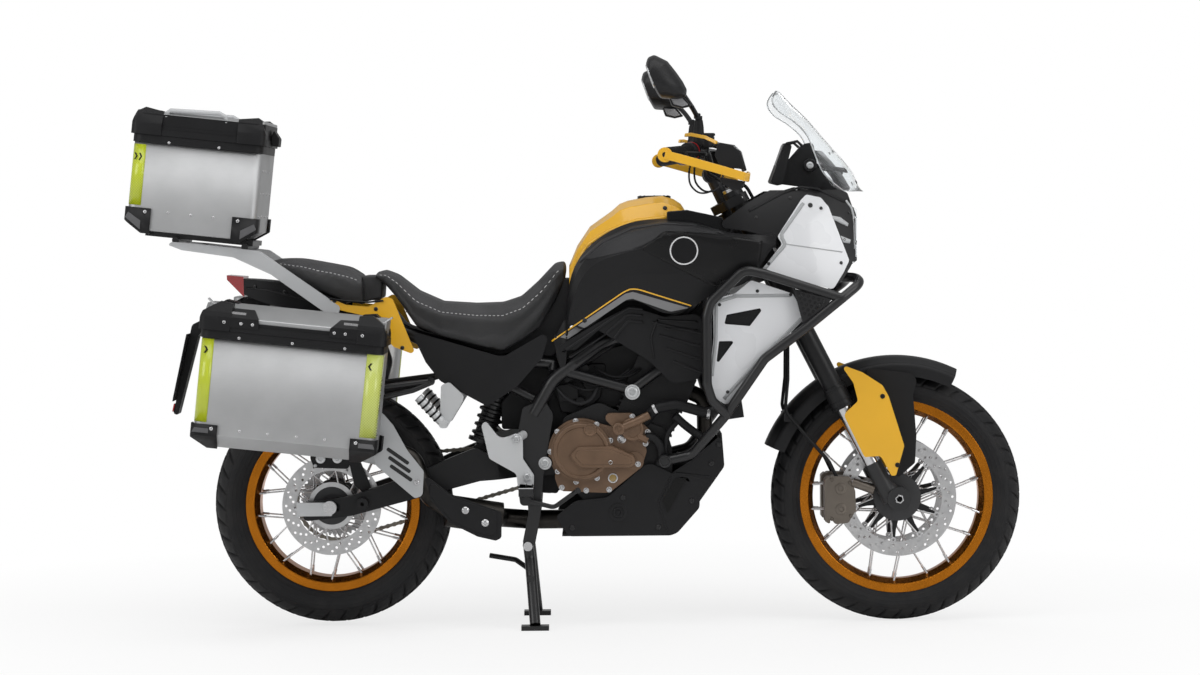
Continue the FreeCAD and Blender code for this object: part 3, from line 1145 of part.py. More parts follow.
def case(half_l, y_in, y_out, low, rim, top, slope, lid_slope, both_sides):
    """Folded aluminium box with a band round its rim, and its lid, drawn level about its own middle."""
    wall = BOX_WALL
    inner_band = y_in - RIM_BAND_T if both_sides else y_in
    inner_skirt = y_in - LID_SKIRT_T if both_sides else y_in
    body = slab([(y_in, low), (y_out - slope, low), (y_out, low + 0.72 * slope), (y_out, rim), (y_in, rim)],
                -half_l, half_l).common(footprint(-half_l, half_l, y_in, y_out, low, rim))
    band = footprint(-half_l - RIM_BAND_T, half_l + RIM_BAND_T, inner_band, y_out + RIM_BAND_T,
                     rim - RIM_BAND_H, rim)
    hollow = slab([(y_in + wall, low + wall), (y_out - slope - wall, low + wall),
                   (y_out - wall, low + 0.72 * slope + wall), (y_out - wall, rim + 5), (y_in + wall, rim + 5)],
                  wall - half_l, half_l - wall)
    hollow = hollow.common(footprint(wall - half_l, half_l - wall, y_in + wall, y_out - wall, low, rim + 5))
    seam = rim + 0.6
    crown = slab([(y_in, seam), (y_out, seam), (y_out, top - lid_slope), (y_out - 2.2 * lid_slope, top),
                  (y_in + 6, top), (y_in, top - 6)], -half_l, half_l)
    crown = crown.common(footprint(-half_l, half_l, y_in, y_out, seam, top))
    skirt = footprint(-half_l - LID_SKIRT_T, half_l, inner_skirt, y_out + LID_SKIRT_T, seam, seam + LID_SKIRT_H)
    roof = slab([(y_in + wall, seam - 5), (y_out - wall, seam - 5), (y_out - wall, top - lid_slope - wall),
                 (y_out - 2.2 * lid_slope - wall, top - wall), (y_in + 6 + wall, top - wall),
                 (y_in + wall, top - 6 - wall)], wall - half_l, half_l - wall)
    roof = roof.common(footprint(wall - half_l, half_l - wall, y_in + wall, y_out - wall, seam - 5, top))
    blocks = lid_blocks(half_l, y_in, y_out, seam, (top - seam) / 62, both_sides)
    return fused(body, band).cut(hollow), fused(crown, skirt, *blocks).cut(roof)


def corner_caps(half_l, y_in, y_out, low, size):
    """Plastic caps over the four lower corners, just clear of the folded wall."""
    caps = []
    for x in (-1, 1):
        for y in (y_in, y_out):
            inward = 1 if y == y_in else -1
            x1 = x * (half_l + 6)
            xs = sorted((x1, x1 - x * size))
            ys = sorted((y - inward * 6, y + inward * size * 0.7))
            cap = sheet([(xs[0], ys[0], 14), (xs[1], ys[0], 14), (xs[1], ys[1], 14), (xs[0], ys[1], 14)],
                        low - 5, low + size)
            caps.append(cap)
    return caps


def place_case(shape, x, z, pitch):
    copy = shape.copy()
    copy.rotate(Vector(0, 0, 0), Vector(0, 1, 0), pitch)
    copy.translate(Vector(x, 0, z))
    return copy


def luggage():
    """Top box and two panniers, each a box with a lid hinged at its front edge."""
    shell, lid = case(TOPBOX_HALF_L, -TOPBOX_HALF_W, TOPBOX_HALF_W, TOPBOX_LOW, TOPBOX_RIM, TOPBOX_TOP, 0.01, 8,
                      True)
    solid = block((-TOPBOX_HALF_L, TOPBOX_HALF_L), (-TOPBOX_HALF_W, TOPBOX_HALF_W), (TOPBOX_LOW, TOPBOX_RIM))
    spots = (TOPBOX_X, TOPBOX_Z, TOPBOX_PITCH)
    keep("top_box", place_case(shell, *spots))
    keep("top_box_lid", place_case(lid, *spots))
    for cap in corner_caps(TOPBOX_HALF_L, -TOPBOX_HALF_W, TOPBOX_HALF_W, TOPBOX_LOW, 66):
        keep("top_box_corners", place_case(cap.cut(solid), *spots))
    shell, lid = case(PANNIER_HALF_L, PANNIER_IN_Y, PANNIER_OUT_Y, PANNIER_LOW, PANNIER_RIM, PANNIER_TOP, 44, 31,
                      False)
    fill = slab([(PANNIER_IN_Y, PANNIER_LOW), (PANNIER_OUT_Y - 44, PANNIER_LOW),
                 (PANNIER_OUT_Y, PANNIER_LOW + 0.72 * 44), (PANNIER_OUT_Y, 0), (PANNIER_IN_Y, 0)],
                -PANNIER_HALF_L, PANNIER_HALF_L)
    spots = (PANNIER_X, PANNIER_Z, PANNIER_PITCH)
    left = place_case(shell, *spots)
    keep("left_pannier", left)
    keep("right_pannier", mirrored(left))
    left = place_case(lid, *spots)
    keep("left_pannier_lid", left)
    keep("right_pannier_lid", mirrored(left))
    for cap in corner_caps(PANNIER_HALF_L, PANNIER_IN_Y, PANNIER_OUT_Y, PANNIER_LOW, 70):
        left = place_case(cap.cut(fill), *spots)
        keep("left_pannier_corners", left)
        keep("right_pannier_corners", mirrored(left))


# Footrests

def footrests():
    """Cast brackets with the rider's and passenger's pegs, and the brake and gear pedals."""
    for side in (1, -1):
        low, high = sorted((side * 152, side * 166))
        bracket = plate([(-175, 506, 8), (-156, 514, 8), (-140, 496, 10), (-140, 446, 14), (-112, 404, 10),
                         (-114, 324, 12), (-148, 324, 12), (-158, 408, 14), (-228, 448, 12), (-248, 536, 12),
                         (-236, 546, 10), (-200, 500, 20)], low, high)
        boss = [rod((-138, side * (PLATE_OUT + FIT), 508), (-150, side * 156, 502), 22),
                rod((-124, side * (PLATE_OUT + FIT), 399), (-128, side * 156, 399), 22)]
        peg = fused(rod((-131, side * 164, 368), (-131, side * 190, 368), 26),
                    block((-150, -112), sorted((side * 186, side * 268)), (356, 378)))
        keep("footrests", clear(fused(bracket, peg, *boss), "main_frame", room=FIT))
        low, high = sorted((side * 151, side * 161))
        rear = plate([(-352, 640, 10), (-330, 648, 10), (-292, 612, 10), (-296, 596, 8), (-338, 528, 8),
                      (-356, 528, 8)], low, high)
        bend = Vector(-336, side * 118, 600)
        stay = fused(rod((-336, side * 154, 600), tuple(bend), 14), Part.makeSphere(7, bend),
                     rod(tuple(bend), (-334, side * 96, 716), 14))
        peg = rod((-350, side * 172, 545), (-410, side * 180, 610), 24)
        pivot = rod((-347, side * 152, 540), (-347, side * 184, 540), 22)
        keep("footrests", clear(fused(rear, stay, peg, pivot), "rear_subframe"))
    pedal = tube([(-131, -174, 338), (-60, -176, 320), (-10, -184, 356), (2, -196, 366)], 12, 20)
    toe = rod((2, -190, 366), (4, -222, 366), 14)
    keep("footrests", fused(pedal, toe, cross_rod(-131, 338, -180, -166 - FIT, 24)))
    lever = tube([(-131, 174, 338), (-70, 176, 334), (6, 190, 366)], 11, 30)
    keep("footrests", fused(lever, rod((4, 184, 366), (4, 216, 366), 14), cross_rod(-131, 338, 166 + FIT, 180, 24)))


def export_all():
    os.makedirs("parts", exist_ok=True)
    for name, solids in NODES.items():
        parts = [s for shape in solids for s in shape.Solids]
        shape = parts[0] if len(parts) == 1 else Part.makeCompound(parts)
        shape.exportStep("parts/" + name + ".step")


front_wheel()
rear_wheel()
fork()
steering_clamps()
handlebar()
hand_guards()
mirrors()
fork_guards()
front_fender()
front_calipers()
brake_hoses()
frame()
subframe()
swingarm()
pivot_bolt()
rear_shock()
chain()
rear_brake()
centre_stand()
engine()
engine_covers()
radiator()
exhaust()
skid_plate()
crash_bars()
fuel_tank()
tank_covers()
lower_panels()
shrouds()
nose_cowl()
headlight()
windscreen()
dash()
seats()
side_panels()
tail()
rack()
pannier_frames()
luggage()
footrests()
export_all()
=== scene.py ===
import json
import math

import bmesh
import bpy
from mathutils import Matrix, Quaternion, Vector


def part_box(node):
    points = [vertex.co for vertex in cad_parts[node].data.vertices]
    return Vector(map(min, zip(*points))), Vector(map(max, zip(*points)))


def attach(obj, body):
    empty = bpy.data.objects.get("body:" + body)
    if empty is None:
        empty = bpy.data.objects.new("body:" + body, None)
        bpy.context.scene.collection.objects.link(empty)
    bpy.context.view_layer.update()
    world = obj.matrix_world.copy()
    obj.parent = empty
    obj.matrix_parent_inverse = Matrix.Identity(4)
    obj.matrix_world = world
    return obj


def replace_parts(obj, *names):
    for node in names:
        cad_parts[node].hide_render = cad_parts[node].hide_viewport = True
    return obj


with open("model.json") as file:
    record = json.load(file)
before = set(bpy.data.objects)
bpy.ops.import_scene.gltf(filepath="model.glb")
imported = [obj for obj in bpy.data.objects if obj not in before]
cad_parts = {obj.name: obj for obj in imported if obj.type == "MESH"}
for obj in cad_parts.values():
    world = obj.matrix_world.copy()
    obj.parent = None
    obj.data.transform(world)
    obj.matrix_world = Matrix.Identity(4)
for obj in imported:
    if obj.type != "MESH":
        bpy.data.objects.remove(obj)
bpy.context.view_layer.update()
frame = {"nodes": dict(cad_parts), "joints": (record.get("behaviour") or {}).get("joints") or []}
nodes = frame["nodes"]


# Studio. The machine stands on a pale floor under wide soft lamps, and the camera looks at its right
# side from nine metres off, level with the tank and tipped down a little, through a long lens.

class Wire:
    """One socket of a material's nodes. Sums on it add Math nodes, and node() adds any other."""

    def __init__(self, tree, socket=None):
        self.tree = tree
        self.socket = socket

    def node(self, kind, settings=None, values=None, output=0):
        made = self.tree.nodes.new(kind)
        for name, value in (settings or {}).items():
            setattr(made, name, value)
        for name, value in (values or {}).items():
            if isinstance(value, Wire):
                self.tree.links.new(value.socket, made.inputs[name])
            else:
                made.inputs[name].default_value = value
        return Wire(self.tree, made.outputs[output])

    def maths(self, operation, *values):
        return self.node("ShaderNodeMath", {"operation": operation}, dict(enumerate(values)))

    def vector(self, operation, *values):
        """Vector maths. A length or a dot product comes out as one number."""
        output = "Value" if operation in ("LENGTH", "DOT_PRODUCT") else "Vector"
        return self.node("ShaderNodeVectorMath", {"operation": operation}, dict(enumerate(values)), output)

    def __add__(self, other):
        return self.maths("ADD", self, other)

    def __sub__(self, other):
        return self.maths("SUBTRACT", self, other)

    def __rsub__(self, other):
        return self.maths("SUBTRACT", other, self)

    def __mul__(self, other):
        return self.maths("MULTIPLY", self, other)

    def __gt__(self, other):
        return self.maths("GREATER_THAN", self, other)

    def __lt__(self, other):
        return self.maths("LESS_THAN", self, other)

    def ramp(self, low, high):
        """0 below low, 1 above high, and even between them."""
        return self.node("ShaderNodeMapRange", {}, {0: self, 1: low, 2: high})

    def either(self, other):
        return self.maths("MAXIMUM", self, other)

    def sine(self):
        return self.maths("SINE", self)

    def axes(self):
        """X, Y and Z of a vector."""
        split = self.node("ShaderNodeSeparateXYZ", {}, {0: self})
        source = split.socket.node
        return [Wire(self.tree, source.outputs[i]) for i in range(3)]


def rgba(colour):
    return (*colour, 1)


def studio_surface(tree, colour, seen):
    """A diffuse colour that camera and glass rays see as plain white by the share given."""
    wire = Wire(tree)
    rays = [wire.node("ShaderNodeLightPath", output=name) for name in ("Is Camera Ray", "Is Transmission Ray")]
    share = rays[0].either(rays[1]) * seen
    lit = wire.node("ShaderNodeBsdfDiffuse", {}, {"Color": rgba(colour)})
    plain = wire.node("ShaderNodeEmission", {}, {"Color": rgba((1, 1, 1)), "Strength": 1})
    return wire.node("ShaderNodeMixShader", {}, {0: share, 1: lit, 2: plain})


FLOOR_HALF = 30
floor_mesh = bpy.data.meshes.new("floor")
corners = [(-FLOOR_HALF, -FLOOR_HALF, 0), (FLOOR_HALF, -FLOOR_HALF, 0), (FLOOR_HALF, FLOOR_HALF, 0),
           (-FLOOR_HALF, FLOOR_HALF, 0)]
floor_mesh.from_pydata(corners, [], [(0, 1, 2, 3)])
floor = bpy.data.objects.new("floor", floor_mesh)
bpy.context.scene.collection.objects.link(floor)
floor_finish = bpy.data.materials.new("floor_white")
floor_finish.use_nodes = True
floor_tree = floor_finish.node_tree
floor_tree.nodes.remove(floor_tree.nodes["Principled BSDF"])
floor_wire = Wire(floor_tree)
floor_spot = floor_wire.node("ShaderNodeTexCoord", output="Object")
FADE_FROM = 0.9
FADE_TO = 2.4
PLAIN_NEAR = 0.75
floor_far = floor_wire.vector("LENGTH", floor_spot).ramp(FADE_FROM, FADE_TO)
floor_seen = floor_far * (1 - PLAIN_NEAR) + PLAIN_NEAR
floor_tree.links.new(studio_surface(floor_tree, (0.9, 0.9, 0.9), floor_seen).socket,
                     floor_tree.nodes["Material Output"].inputs["Surface"])
floor_mesh.materials.append(floor_finish)

world = bpy.data.worlds.new("studio")
bpy.context.scene.world = world
world.use_nodes = True
sky = Wire(world.node_tree)
sky_rays = [sky.node("ShaderNodeLightPath", output=name) for name in ("Is Camera Ray", "Is Transmission Ray")]
sky_seen = sky_rays[0].either(sky_rays[1])
AMBIENT = 0.42
sky_light = sky.node("ShaderNodeBackground", {}, {"Color": rgba((1, 1, 1)),
                                                  "Strength": sky_seen * (1 - AMBIENT) + AMBIENT})
world.node_tree.links.new(sky_light.socket, world.node_tree.nodes["World Output"].inputs["Surface"])

LAMPS = [("lamp_over", (0.2, -1.2, 4.0), (5.0, 2.6), 70), ("lamp_front", (4.2, -3.4, 2.6), (2.6, 2.6), 60),
         ("lamp_rear", (-4.4, -3.0, 2.8), (2.6, 2.6), 60), ("lamp_far", (0.0, 4.4, 3.2), (4.0, 2.0), 60)]
for name, place, size, watts in LAMPS:
    lamp = bpy.data.lights.new(name, "AREA")
    lamp.shape = "RECTANGLE"
    lamp.size, lamp.size_y = size
    lamp.energy = watts
    holder = bpy.data.objects.new(name, lamp)
    holder.location = place
    holder.visible_glossy = name != "lamp_far"
    aim = Vector((0, 0, 0.6)) - Vector(place)
    holder.rotation_euler = aim.to_track_quat("-Z", "Y").to_euler()
    bpy.context.scene.collection.objects.link(holder)

CAMERA_PLACE = (0.0636, -9.0, 1.0665)
CAMERA_LENS = 101.92
CAMERA_DOWN = 1.98
CAMERA_ROLL = 0.52
camera_data = bpy.data.cameras.new("camera")
camera_data.lens = CAMERA_LENS
camera_data.sensor_width = 36
camera_data.clip_end = 100
camera = bpy.data.objects.new("camera", camera_data)
camera.location = CAMERA_PLACE
camera.rotation_mode = "QUATERNION"
tip = Quaternion((1, 0, 0), math.radians(90 - CAMERA_DOWN))
camera.rotation_quaternion = tip @ Quaternion((0, 0, 1), math.radians(-CAMERA_ROLL))
bpy.context.scene.collection.objects.link(camera)
bpy.context.scene.camera = camera
bpy.context.scene.view_settings.view_transform = "Standard"


# Tyres. Moulded rubber: a hoop with rounded shoulders and ringed sidewalls, and over its crown four
# slanting rows of tread blocks. The hoop is spun and smoothed, and the blocks are set into it.

class Finish:
    """One material: its shader, and the wires that vary it over a piece."""

    def __init__(self, name, colour, roughness=0.5, metallic=0.0, **fixed):
        self.material = bpy.data.materials.new(name)
        self.material.use_nodes = True
        self.tree = self.material.node_tree
        self.shader = self.tree.nodes["Principled BSDF"]
        self.wire = Wire(self.tree)
        self.shader.inputs["Base Color"].default_value = rgba(colour)
        self.shader.inputs["Roughness"].default_value = roughness
        self.shader.inputs["Metallic"].default_value = metallic
        for socket, value in fixed.items():
            self.shader.inputs[socket.replace("_", " ")].default_value = value

    def place(self, scale=(1, 1, 1)):
        """Where a point of the piece is, in metres, stretched by scale."""
        spot = self.wire.node("ShaderNodeTexCoord", output="Object")
        if scale == (1, 1, 1):
            return spot
        return self.wire.vector("MULTIPLY", spot, scale)

    def noise(self, size, detail=3.0, scale=(1, 1, 1)):
        """Soft mottling whose patches are about size metres across."""
        return self.wire.node("ShaderNodeTexNoise", {}, {"Vector": self.place(scale), "Scale": 1 / size,
                                                         "Detail": detail})

    def away(self, centre, kept=(1, 1, 1)):
        """Distance from centre in metres, counted along the axes that are kept."""
        offset = self.wire.vector("SUBTRACT", self.place(), centre)
        return self.wire.vector("LENGTH", self.wire.vector("MULTIPLY", offset, kept))

    def along(self, axis):
        """How far along axis a point lies, in metres."""
        return self.wire.vector("DOT_PRODUCT", self.place(), axis)

    def mix(self, share, one, two):
        """Colour one where share is 0 and colour two where it is 1."""
        ends = [c if isinstance(c, Wire) else rgba(c) for c in (one, two)]
        return self.wire.node("ShaderNodeMix", {"data_type": "RGBA"}, {0: share, 6: ends[0], 7: ends[1]}, 2)

    def feed(self, **sockets):
        """Wires into the shader's sockets."""
        for socket, wire in sockets.items():
            self.tree.links.new(wire.socket, self.shader.inputs[socket.replace("_", " ")])
        return self

    def bump(self, height, depth, strength=1.0):
        """Relief: height is 0 to 1, and depth its full height in metres."""
        relief = self.wire.node("ShaderNodeBump", {}, {"Height": height, "Distance": depth,
                                                       "Strength": strength})
        return self.feed(Normal=relief)


class Mould:
    """Points and faces of one piece, in millimetres, which piece() turns into an object in metres."""

    def __init__(self):
        self.points = []
        self.faces = []

    def add(self, points, faces):
        first = len(self.points)
        self.points += [Vector(p) for p in points]
        self.faces += [[first + i for i in face] for face in faces]
        return self

    def join(self, other):
        """Another mould's points and faces as well."""
        return self.add(other.points, other.faces)

    def grid(self, rows, closed=False, caps=False):
        """A skin over rows of points. closed joins the ends of each row, caps fill the first and last."""
        n = len(rows[0])
        across = n if closed else n - 1
        faces = []
        for r in range(len(rows) - 1):
            for i in range(across):
                k = (i + 1) % n
                faces.append([r * n + i, r * n + k, (r + 1) * n + k, (r + 1) * n + i])
        if caps:
            faces.append(list(range(n)))
            faces.append([(len(rows) - 1) * n + i for i in range(n)])
        return self.add([p for row in rows for p in row], faces)

    def prism(self, outline, low, high, axis="Y"):
        """A flat outline pushed from one level to another along an axis, Y or Z."""
        order = {"Y": (0, 2, 1), "Z": (0, 1, 2)}[axis]
        rows = []
        for level in sorted((low, high)):
            spots = [(a, b, level) for a, b in outline]
            rows.append([tuple(p[k] for k in order) for p in spots])
        return self.grid(rows, closed=True, caps=True)

    def tube(self, path, radius, sides=12):
        """A round bar or pipe along a path of points."""
        path = [Vector(p) for p in path]
        rows = []
        side = None
        for i, p in enumerate(path):
            way = (path[min(i + 1, len(path) - 1)] - path[max(i - 1, 0)]).normalized()
            if side is None:
                side = way.orthogonal()
            side = (side - way * side.dot(way)).normalized()
            over = way.cross(side)
            rows.append([p + (side * math.cos(t) + over * math.sin(t)) * radius
                         for t in (2 * math.pi * k / sides for k in range(sides))])
        return self.grid(rows, closed=True, caps=True)

    def spin(self, outline, centre, steps, way=(0, 1, 0)):
        """An outline of (distance along way, radius) points spun once round centre."""
        way = Vector(way).normalized()
        side = way.orthogonal().normalized()
        over = way.cross(side)
        rows = []
        for i in range(steps + 1):
            t = 2 * math.pi * (i % steps) / steps
            out = side * math.cos(t) + over * math.sin(t)
            rows.append([Vector(centre) + way * a + out * r for a, r in outline])
        return self.grid(rows)

    def button(self, spot, way, radius, height, sides=16):
        """A domed screw or rivet head with its socket, standing on spot."""
        outline = [(0, radius), (height * 0.55, radius * 0.96), (height * 0.92, radius * 0.72),
                   (height, radius * 0.45), (height * 0.5, radius * 0.4), (height * 0.5, 0)]
        return self.spin(outline, spot, sides, way)

    def piece(self, name, material, body, slot, place=None, edge=0, sharp=32, smooth=0, wall=0):
        """The finished object, riding on a body: edge rounds its edges, wall thickens it, smooth subdivides it."""
        mesh = bpy.data.meshes.new(name)
        points = [place @ p for p in self.points] if place else self.points
        mesh.from_pydata([p * 0.001 for p in points], [], self.faces)
        shape = bmesh.new()
        shape.from_mesh(mesh)
        bmesh.ops.remove_doubles(shape, verts=shape.verts, dist=0.00001)
        bmesh.ops.recalc_face_normals(shape, faces=shape.faces)
        shape.to_mesh(mesh)
        shape.free()
        mesh.shade_smooth()
        mesh.set_sharp_from_angle(angle=math.radians(180 if smooth else sharp))
        mesh.materials.append(material)
        made = bpy.data.objects.new(name, mesh)
        bpy.context.scene.collection.objects.link(made)
        if edge:
            rounding = made.modifiers.new("edges", "BEVEL")
            rounding.width = edge * 0.001
            rounding.segments = 2
            rounding.limit_method = "ANGLE"
            rounding.angle_limit = math.radians(sharp)
            rounding.harden_normals = True
        if wall:
            shell = made.modifiers.new("wall", "SOLIDIFY")
            shell.thickness = wall * 0.001
            shell.offset = -1
        if smooth:
            finer = made.modifiers.new("smooth", "SUBSURF")
            finer.levels = finer.render_levels = smooth
        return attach(made, body)


joints = {joint["name"]: Vector(joint["pos_m"]) for joint in frame["joints"]}
FRONT_AXLE = joints["front_axle"]
REAR_AXLE = joints["rear_axle"]
FRONT_BEAD_R = 241.5
REAR_BEAD_R = 216
TREAD_DEPTH = 6
CROWN_SHARE = 0.92
SHOULDER_SHARE = 0.31


def tyre_rubber(name, axle, wall_r):
    """Black rubber: dusty in patches, moulded rings on the sidewall, fine grain all over."""
    made = Finish(name, (0.011, 0.011, 0.012), 0.62, Specular_IOR_Level=0.3)
    radius = made.away(axle, (1, 0, 1))
    dust = made.noise(0.05, 5).ramp(0.45, 0.75)
    rings = (radius * 620).sine().ramp(0.3, 0.9) * (radius < wall_r)
    made.feed(Base_Color=made.mix(dust, (0.008, 0.008, 0.009), (0.019, 0.018, 0.018)),
              Roughness=dust * 0.16 + 0.56)
    return made.bump(made.noise(0.0012, 2) * 0.35 + rings * 0.5, 0.0011, 0.8).material


def tyre(node, axle, body, bead_r, blocks):
    """A carcass over a CAD tyre's box, and blocks slanting rows of tread round it."""
    low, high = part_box(node)
    outer_r = (high.z - low.z) * 500
    half = (high.y - low.y) * 500
    centre = axle * 1000
    crown_half = CROWN_SHARE * half
    wall_r = outer_r - SHOULDER_SHARE * (outer_r - bead_r)

    def crown(side):
        return outer_r - (outer_r - wall_r) * abs(side / crown_half) ** 2.2

    rubber = tyre_rubber(node + "_rubber", axle, (wall_r - TREAD_DEPTH) * 0.001)
    wall = [(half * 0.72, bead_r + 3), (half * 0.74, bead_r + 15), (half * 0.9, bead_r + 28),
            (half * 0.985, wall_r - 18), (half * 0.975, wall_r - 7)]
    top = [(crown_half * k, crown(crown_half * k) - TREAD_DEPTH) for k in (0.9, 0.6, 0.3)]
    outline = wall + top + [(0, outer_r - TREAD_DEPTH)]
    outline += [(-a, r) for a, r in reversed(wall + top)]
    hoop = Mould().spin(outline, centre, 96)
    carcass = hoop.piece(node + "_carcass", rubber, body, "tyre_rubber", smooth=1)
    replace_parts(carcass, node)
    tread = Mould()
    step = 2 * math.pi / blocks
    for i in range(blocks):
        for inner, outer, lead in ((0.05, 0.40, 0.0), (0.47, 0.98, 0.35)):
            for side in (1, -1):
                rows = []
                for spread, sink in ((1.06, TREAD_DEPTH + 1), (1.0, 0.4), (0.94, 0)):
                    middle_y = (inner + outer) / 2
                    ring = []
                    for u, v in ((0, 0), (0, 0.5), (0, 1), (0.5, 1), (1, 1), (1, 0.5), (1, 0), (0.5, 0)):
                        across = (middle_y + (inner - middle_y + v * (outer - inner)) * spread) * crown_half
                        turn = (i + lead + 0.5 * (side > 0) + 0.5 + (u - 0.5) * 0.76 * spread) * step
                        turn += 0.9 * step * abs(across) / crown_half
                        r = crown(across) - sink
                        ring.append(centre + Vector((math.cos(turn) * r, side * across, math.sin(turn) * r)))
                    rows.append(ring)
                tread.grid(rows, closed=True, caps=True)
    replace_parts(tread.piece(node + "_tread", rubber, body, "tyre_rubber", sharp=50), node)


tyre("front_tyre", FRONT_AXLE, "front_wheel", FRONT_BEAD_R, 48)
tyre("rear_tyre", REAR_AXLE, "rear_wheel", REAR_BEAD_R, 42)


# Wheels. Extruded rims anodised in orange gold, laced with crossed steel spokes to black cast hubs. The
# rims and hubs are the solids, and a nipple sits where each spoke meets its rim.

def dress(node, *materials):
    """Give a CAD node its finish."""
    shown = nodes[node].data
    shown.materials.clear()
    for material in materials:
        shown.materials.append(material)


def metal(name, colour, roughness=0.35, grain=(1, 1, 1), depth=0.00012, size=0.002, cloud=0.2):
    """Bare, cast or anodised metal, with a grain that may run one way."""
    made = Finish(name, colour, roughness, 1.0)
    streak = made.noise(size, 4, grain)
    patches = made.noise(0.07, 3).ramp(0.35, 0.7)
    darker = tuple(c * (1 - cloud) for c in colour)
    made.feed(Base_Color=made.mix(patches, darker, colour), Roughness=streak * 0.16 + (roughness - 0.06))
    return made.bump(streak, depth, 0.6).material


def hub_and_spokes(name, axle, hub_r):
    """Black satin casting out to hub_r, bright drawn steel beyond it."""
    made = Finish(name, (0.03, 0.03, 0.032), 0.45)
    spoke = made.away(axle, (1, 0, 1)) > hub_r
    cloud = made.noise(0.03, 3)
    made.feed(Base_Color=made.mix(spoke, (0.026, 0.026, 0.028), (0.66, 0.66, 0.67)), Metallic=spoke,
              Roughness=spoke * -0.2 + 0.42 + cloud * 0.1)
    return made.bump(made.noise(0.0014, 2), 0.00015, 0.6).material


gold = metal("gold_rim", (0.52, 0.175, 0.014), 0.26)
bright_steel = metal("bright_steel", (0.66, 0.66, 0.67), 0.24)
NIPPLE_R = 3.2
NIPPLE_LONG = 14
SPOKES = 36
LACED = [("front", FRONT_AXLE, "front_wheel", 34, 58, FRONT_BEAD_R, 86),
         ("rear", REAR_AXLE, "rear_wheel", 44, 62, REAR_BEAD_R, 120)]
for end, axle, body, flange_y, flange_r, bead_r, rim_wide in LACED:
    dress(end + "_rim", gold)
    dress(end + "_hub", hub_and_spokes(end + "_hub_finish", axle, (flange_r + 3.5) * 0.001))
    nipples = Mould()
    for i in range(SPOKES):
        way = 1 if i % 2 else -1
        side = 1 if i % 4 < 2 else -1
        start_turn = math.radians((i // 4) * 40 + way * 10)
        end_turn = start_turn + way * math.radians(42)
        start = Vector((math.cos(start_turn) * (flange_r - 6), side * flange_y + way * 3.5,
                        math.sin(start_turn) * (flange_r - 6)))
        finish = Vector((math.cos(end_turn) * (bead_r - 11), side * (rim_wide / 2 - 19) + way * 3.5,
                         math.sin(end_turn) * (bead_r - 11)))
        back = (start - finish).normalized()
        seat = axle * 1000 + finish + back * 12
        nipples.tube([seat - back * 6, seat + back * NIPPLE_LONG], NIPPLE_R, 8)
    nipples.piece(end + "_nipples", bright_steel, body, "bolt_steel")


# Brakes and drive. Ground steel discs, drilled, floating on black carriers by silver bobbins, a toothed
# steel sprocket, and a roller chain whose links are pressed and riveted.

def disc_finish(name, axle, carrier_r, track_r):
    """Ground ring marks on the track, black carrier inside, silver bobbins between."""
    made = Finish(name, (0.6, 0.6, 0.6), 0.3, 1.0)
    radius = made.away(axle, (1, 0, 1))
    black = radius < carrier_r
    track = radius > track_r
    turned = (radius * 5200).sine()
    cloud = made.noise(0.02, 3)
    worn = made.mix(cloud, (0.46, 0.46, 0.47), (0.66, 0.66, 0.66))
    made.feed(Base_Color=made.mix(black, worn, (0.03, 0.03, 0.032)), Metallic=1 - black,
              Roughness=black * 0.16 + 0.26 + cloud * 0.08)
    return made.bump(turned * track * 0.5 + 0.5, 0.00006, 0.7).material


dress("front_discs", disc_finish("front_disc_finish", FRONT_AXLE, 0.064, 0.116))
dress("rear_disc", disc_finish("rear_disc_finish", REAR_AXLE, 0.050, 0.091))


def chain_route(front, front_r, rear, rear_r, links):
    """Evenly spaced points round two sprockets in the XZ plane."""
    gap = rear - front
    base = math.atan2(gap.z, gap.x)
    lean = math.acos((front_r - rear_r) / gap.length)
    straight = math.sqrt(gap.length ** 2 - (front_r - rear_r) ** 2)
    front_arc = 2 * math.pi - 2 * lean
    rear_arc = 2 * lean
    total = 2 * straight + front_arc * front_r + rear_arc * rear_r

    def out(turn):
        return Vector((math.cos(turn), 0, math.sin(turn)))

    route = []
    for i in range(links):
        s = total * i / links
        if s < straight:
            start, finish = [hub + out(base + lean) * r for hub, r in ((front, front_r), (rear, rear_r))]
            spot = start.lerp(finish, s / straight)
        elif s < straight + rear_arc * rear_r:
            spot = rear + out(base + lean - (s - straight) / rear_r) * rear_r
        elif s < 2 * straight + rear_arc * rear_r:
            start, finish = [hub + out(base - lean) * r for hub, r in ((rear, rear_r), (front, front_r))]
            spot = start.lerp(finish, (s - straight - rear_arc * rear_r) / straight)
        else:
            spot = front + out(base - lean - (s - 2 * straight - rear_arc * rear_r) / front_r) * front_r
        route.append(spot)
    return route


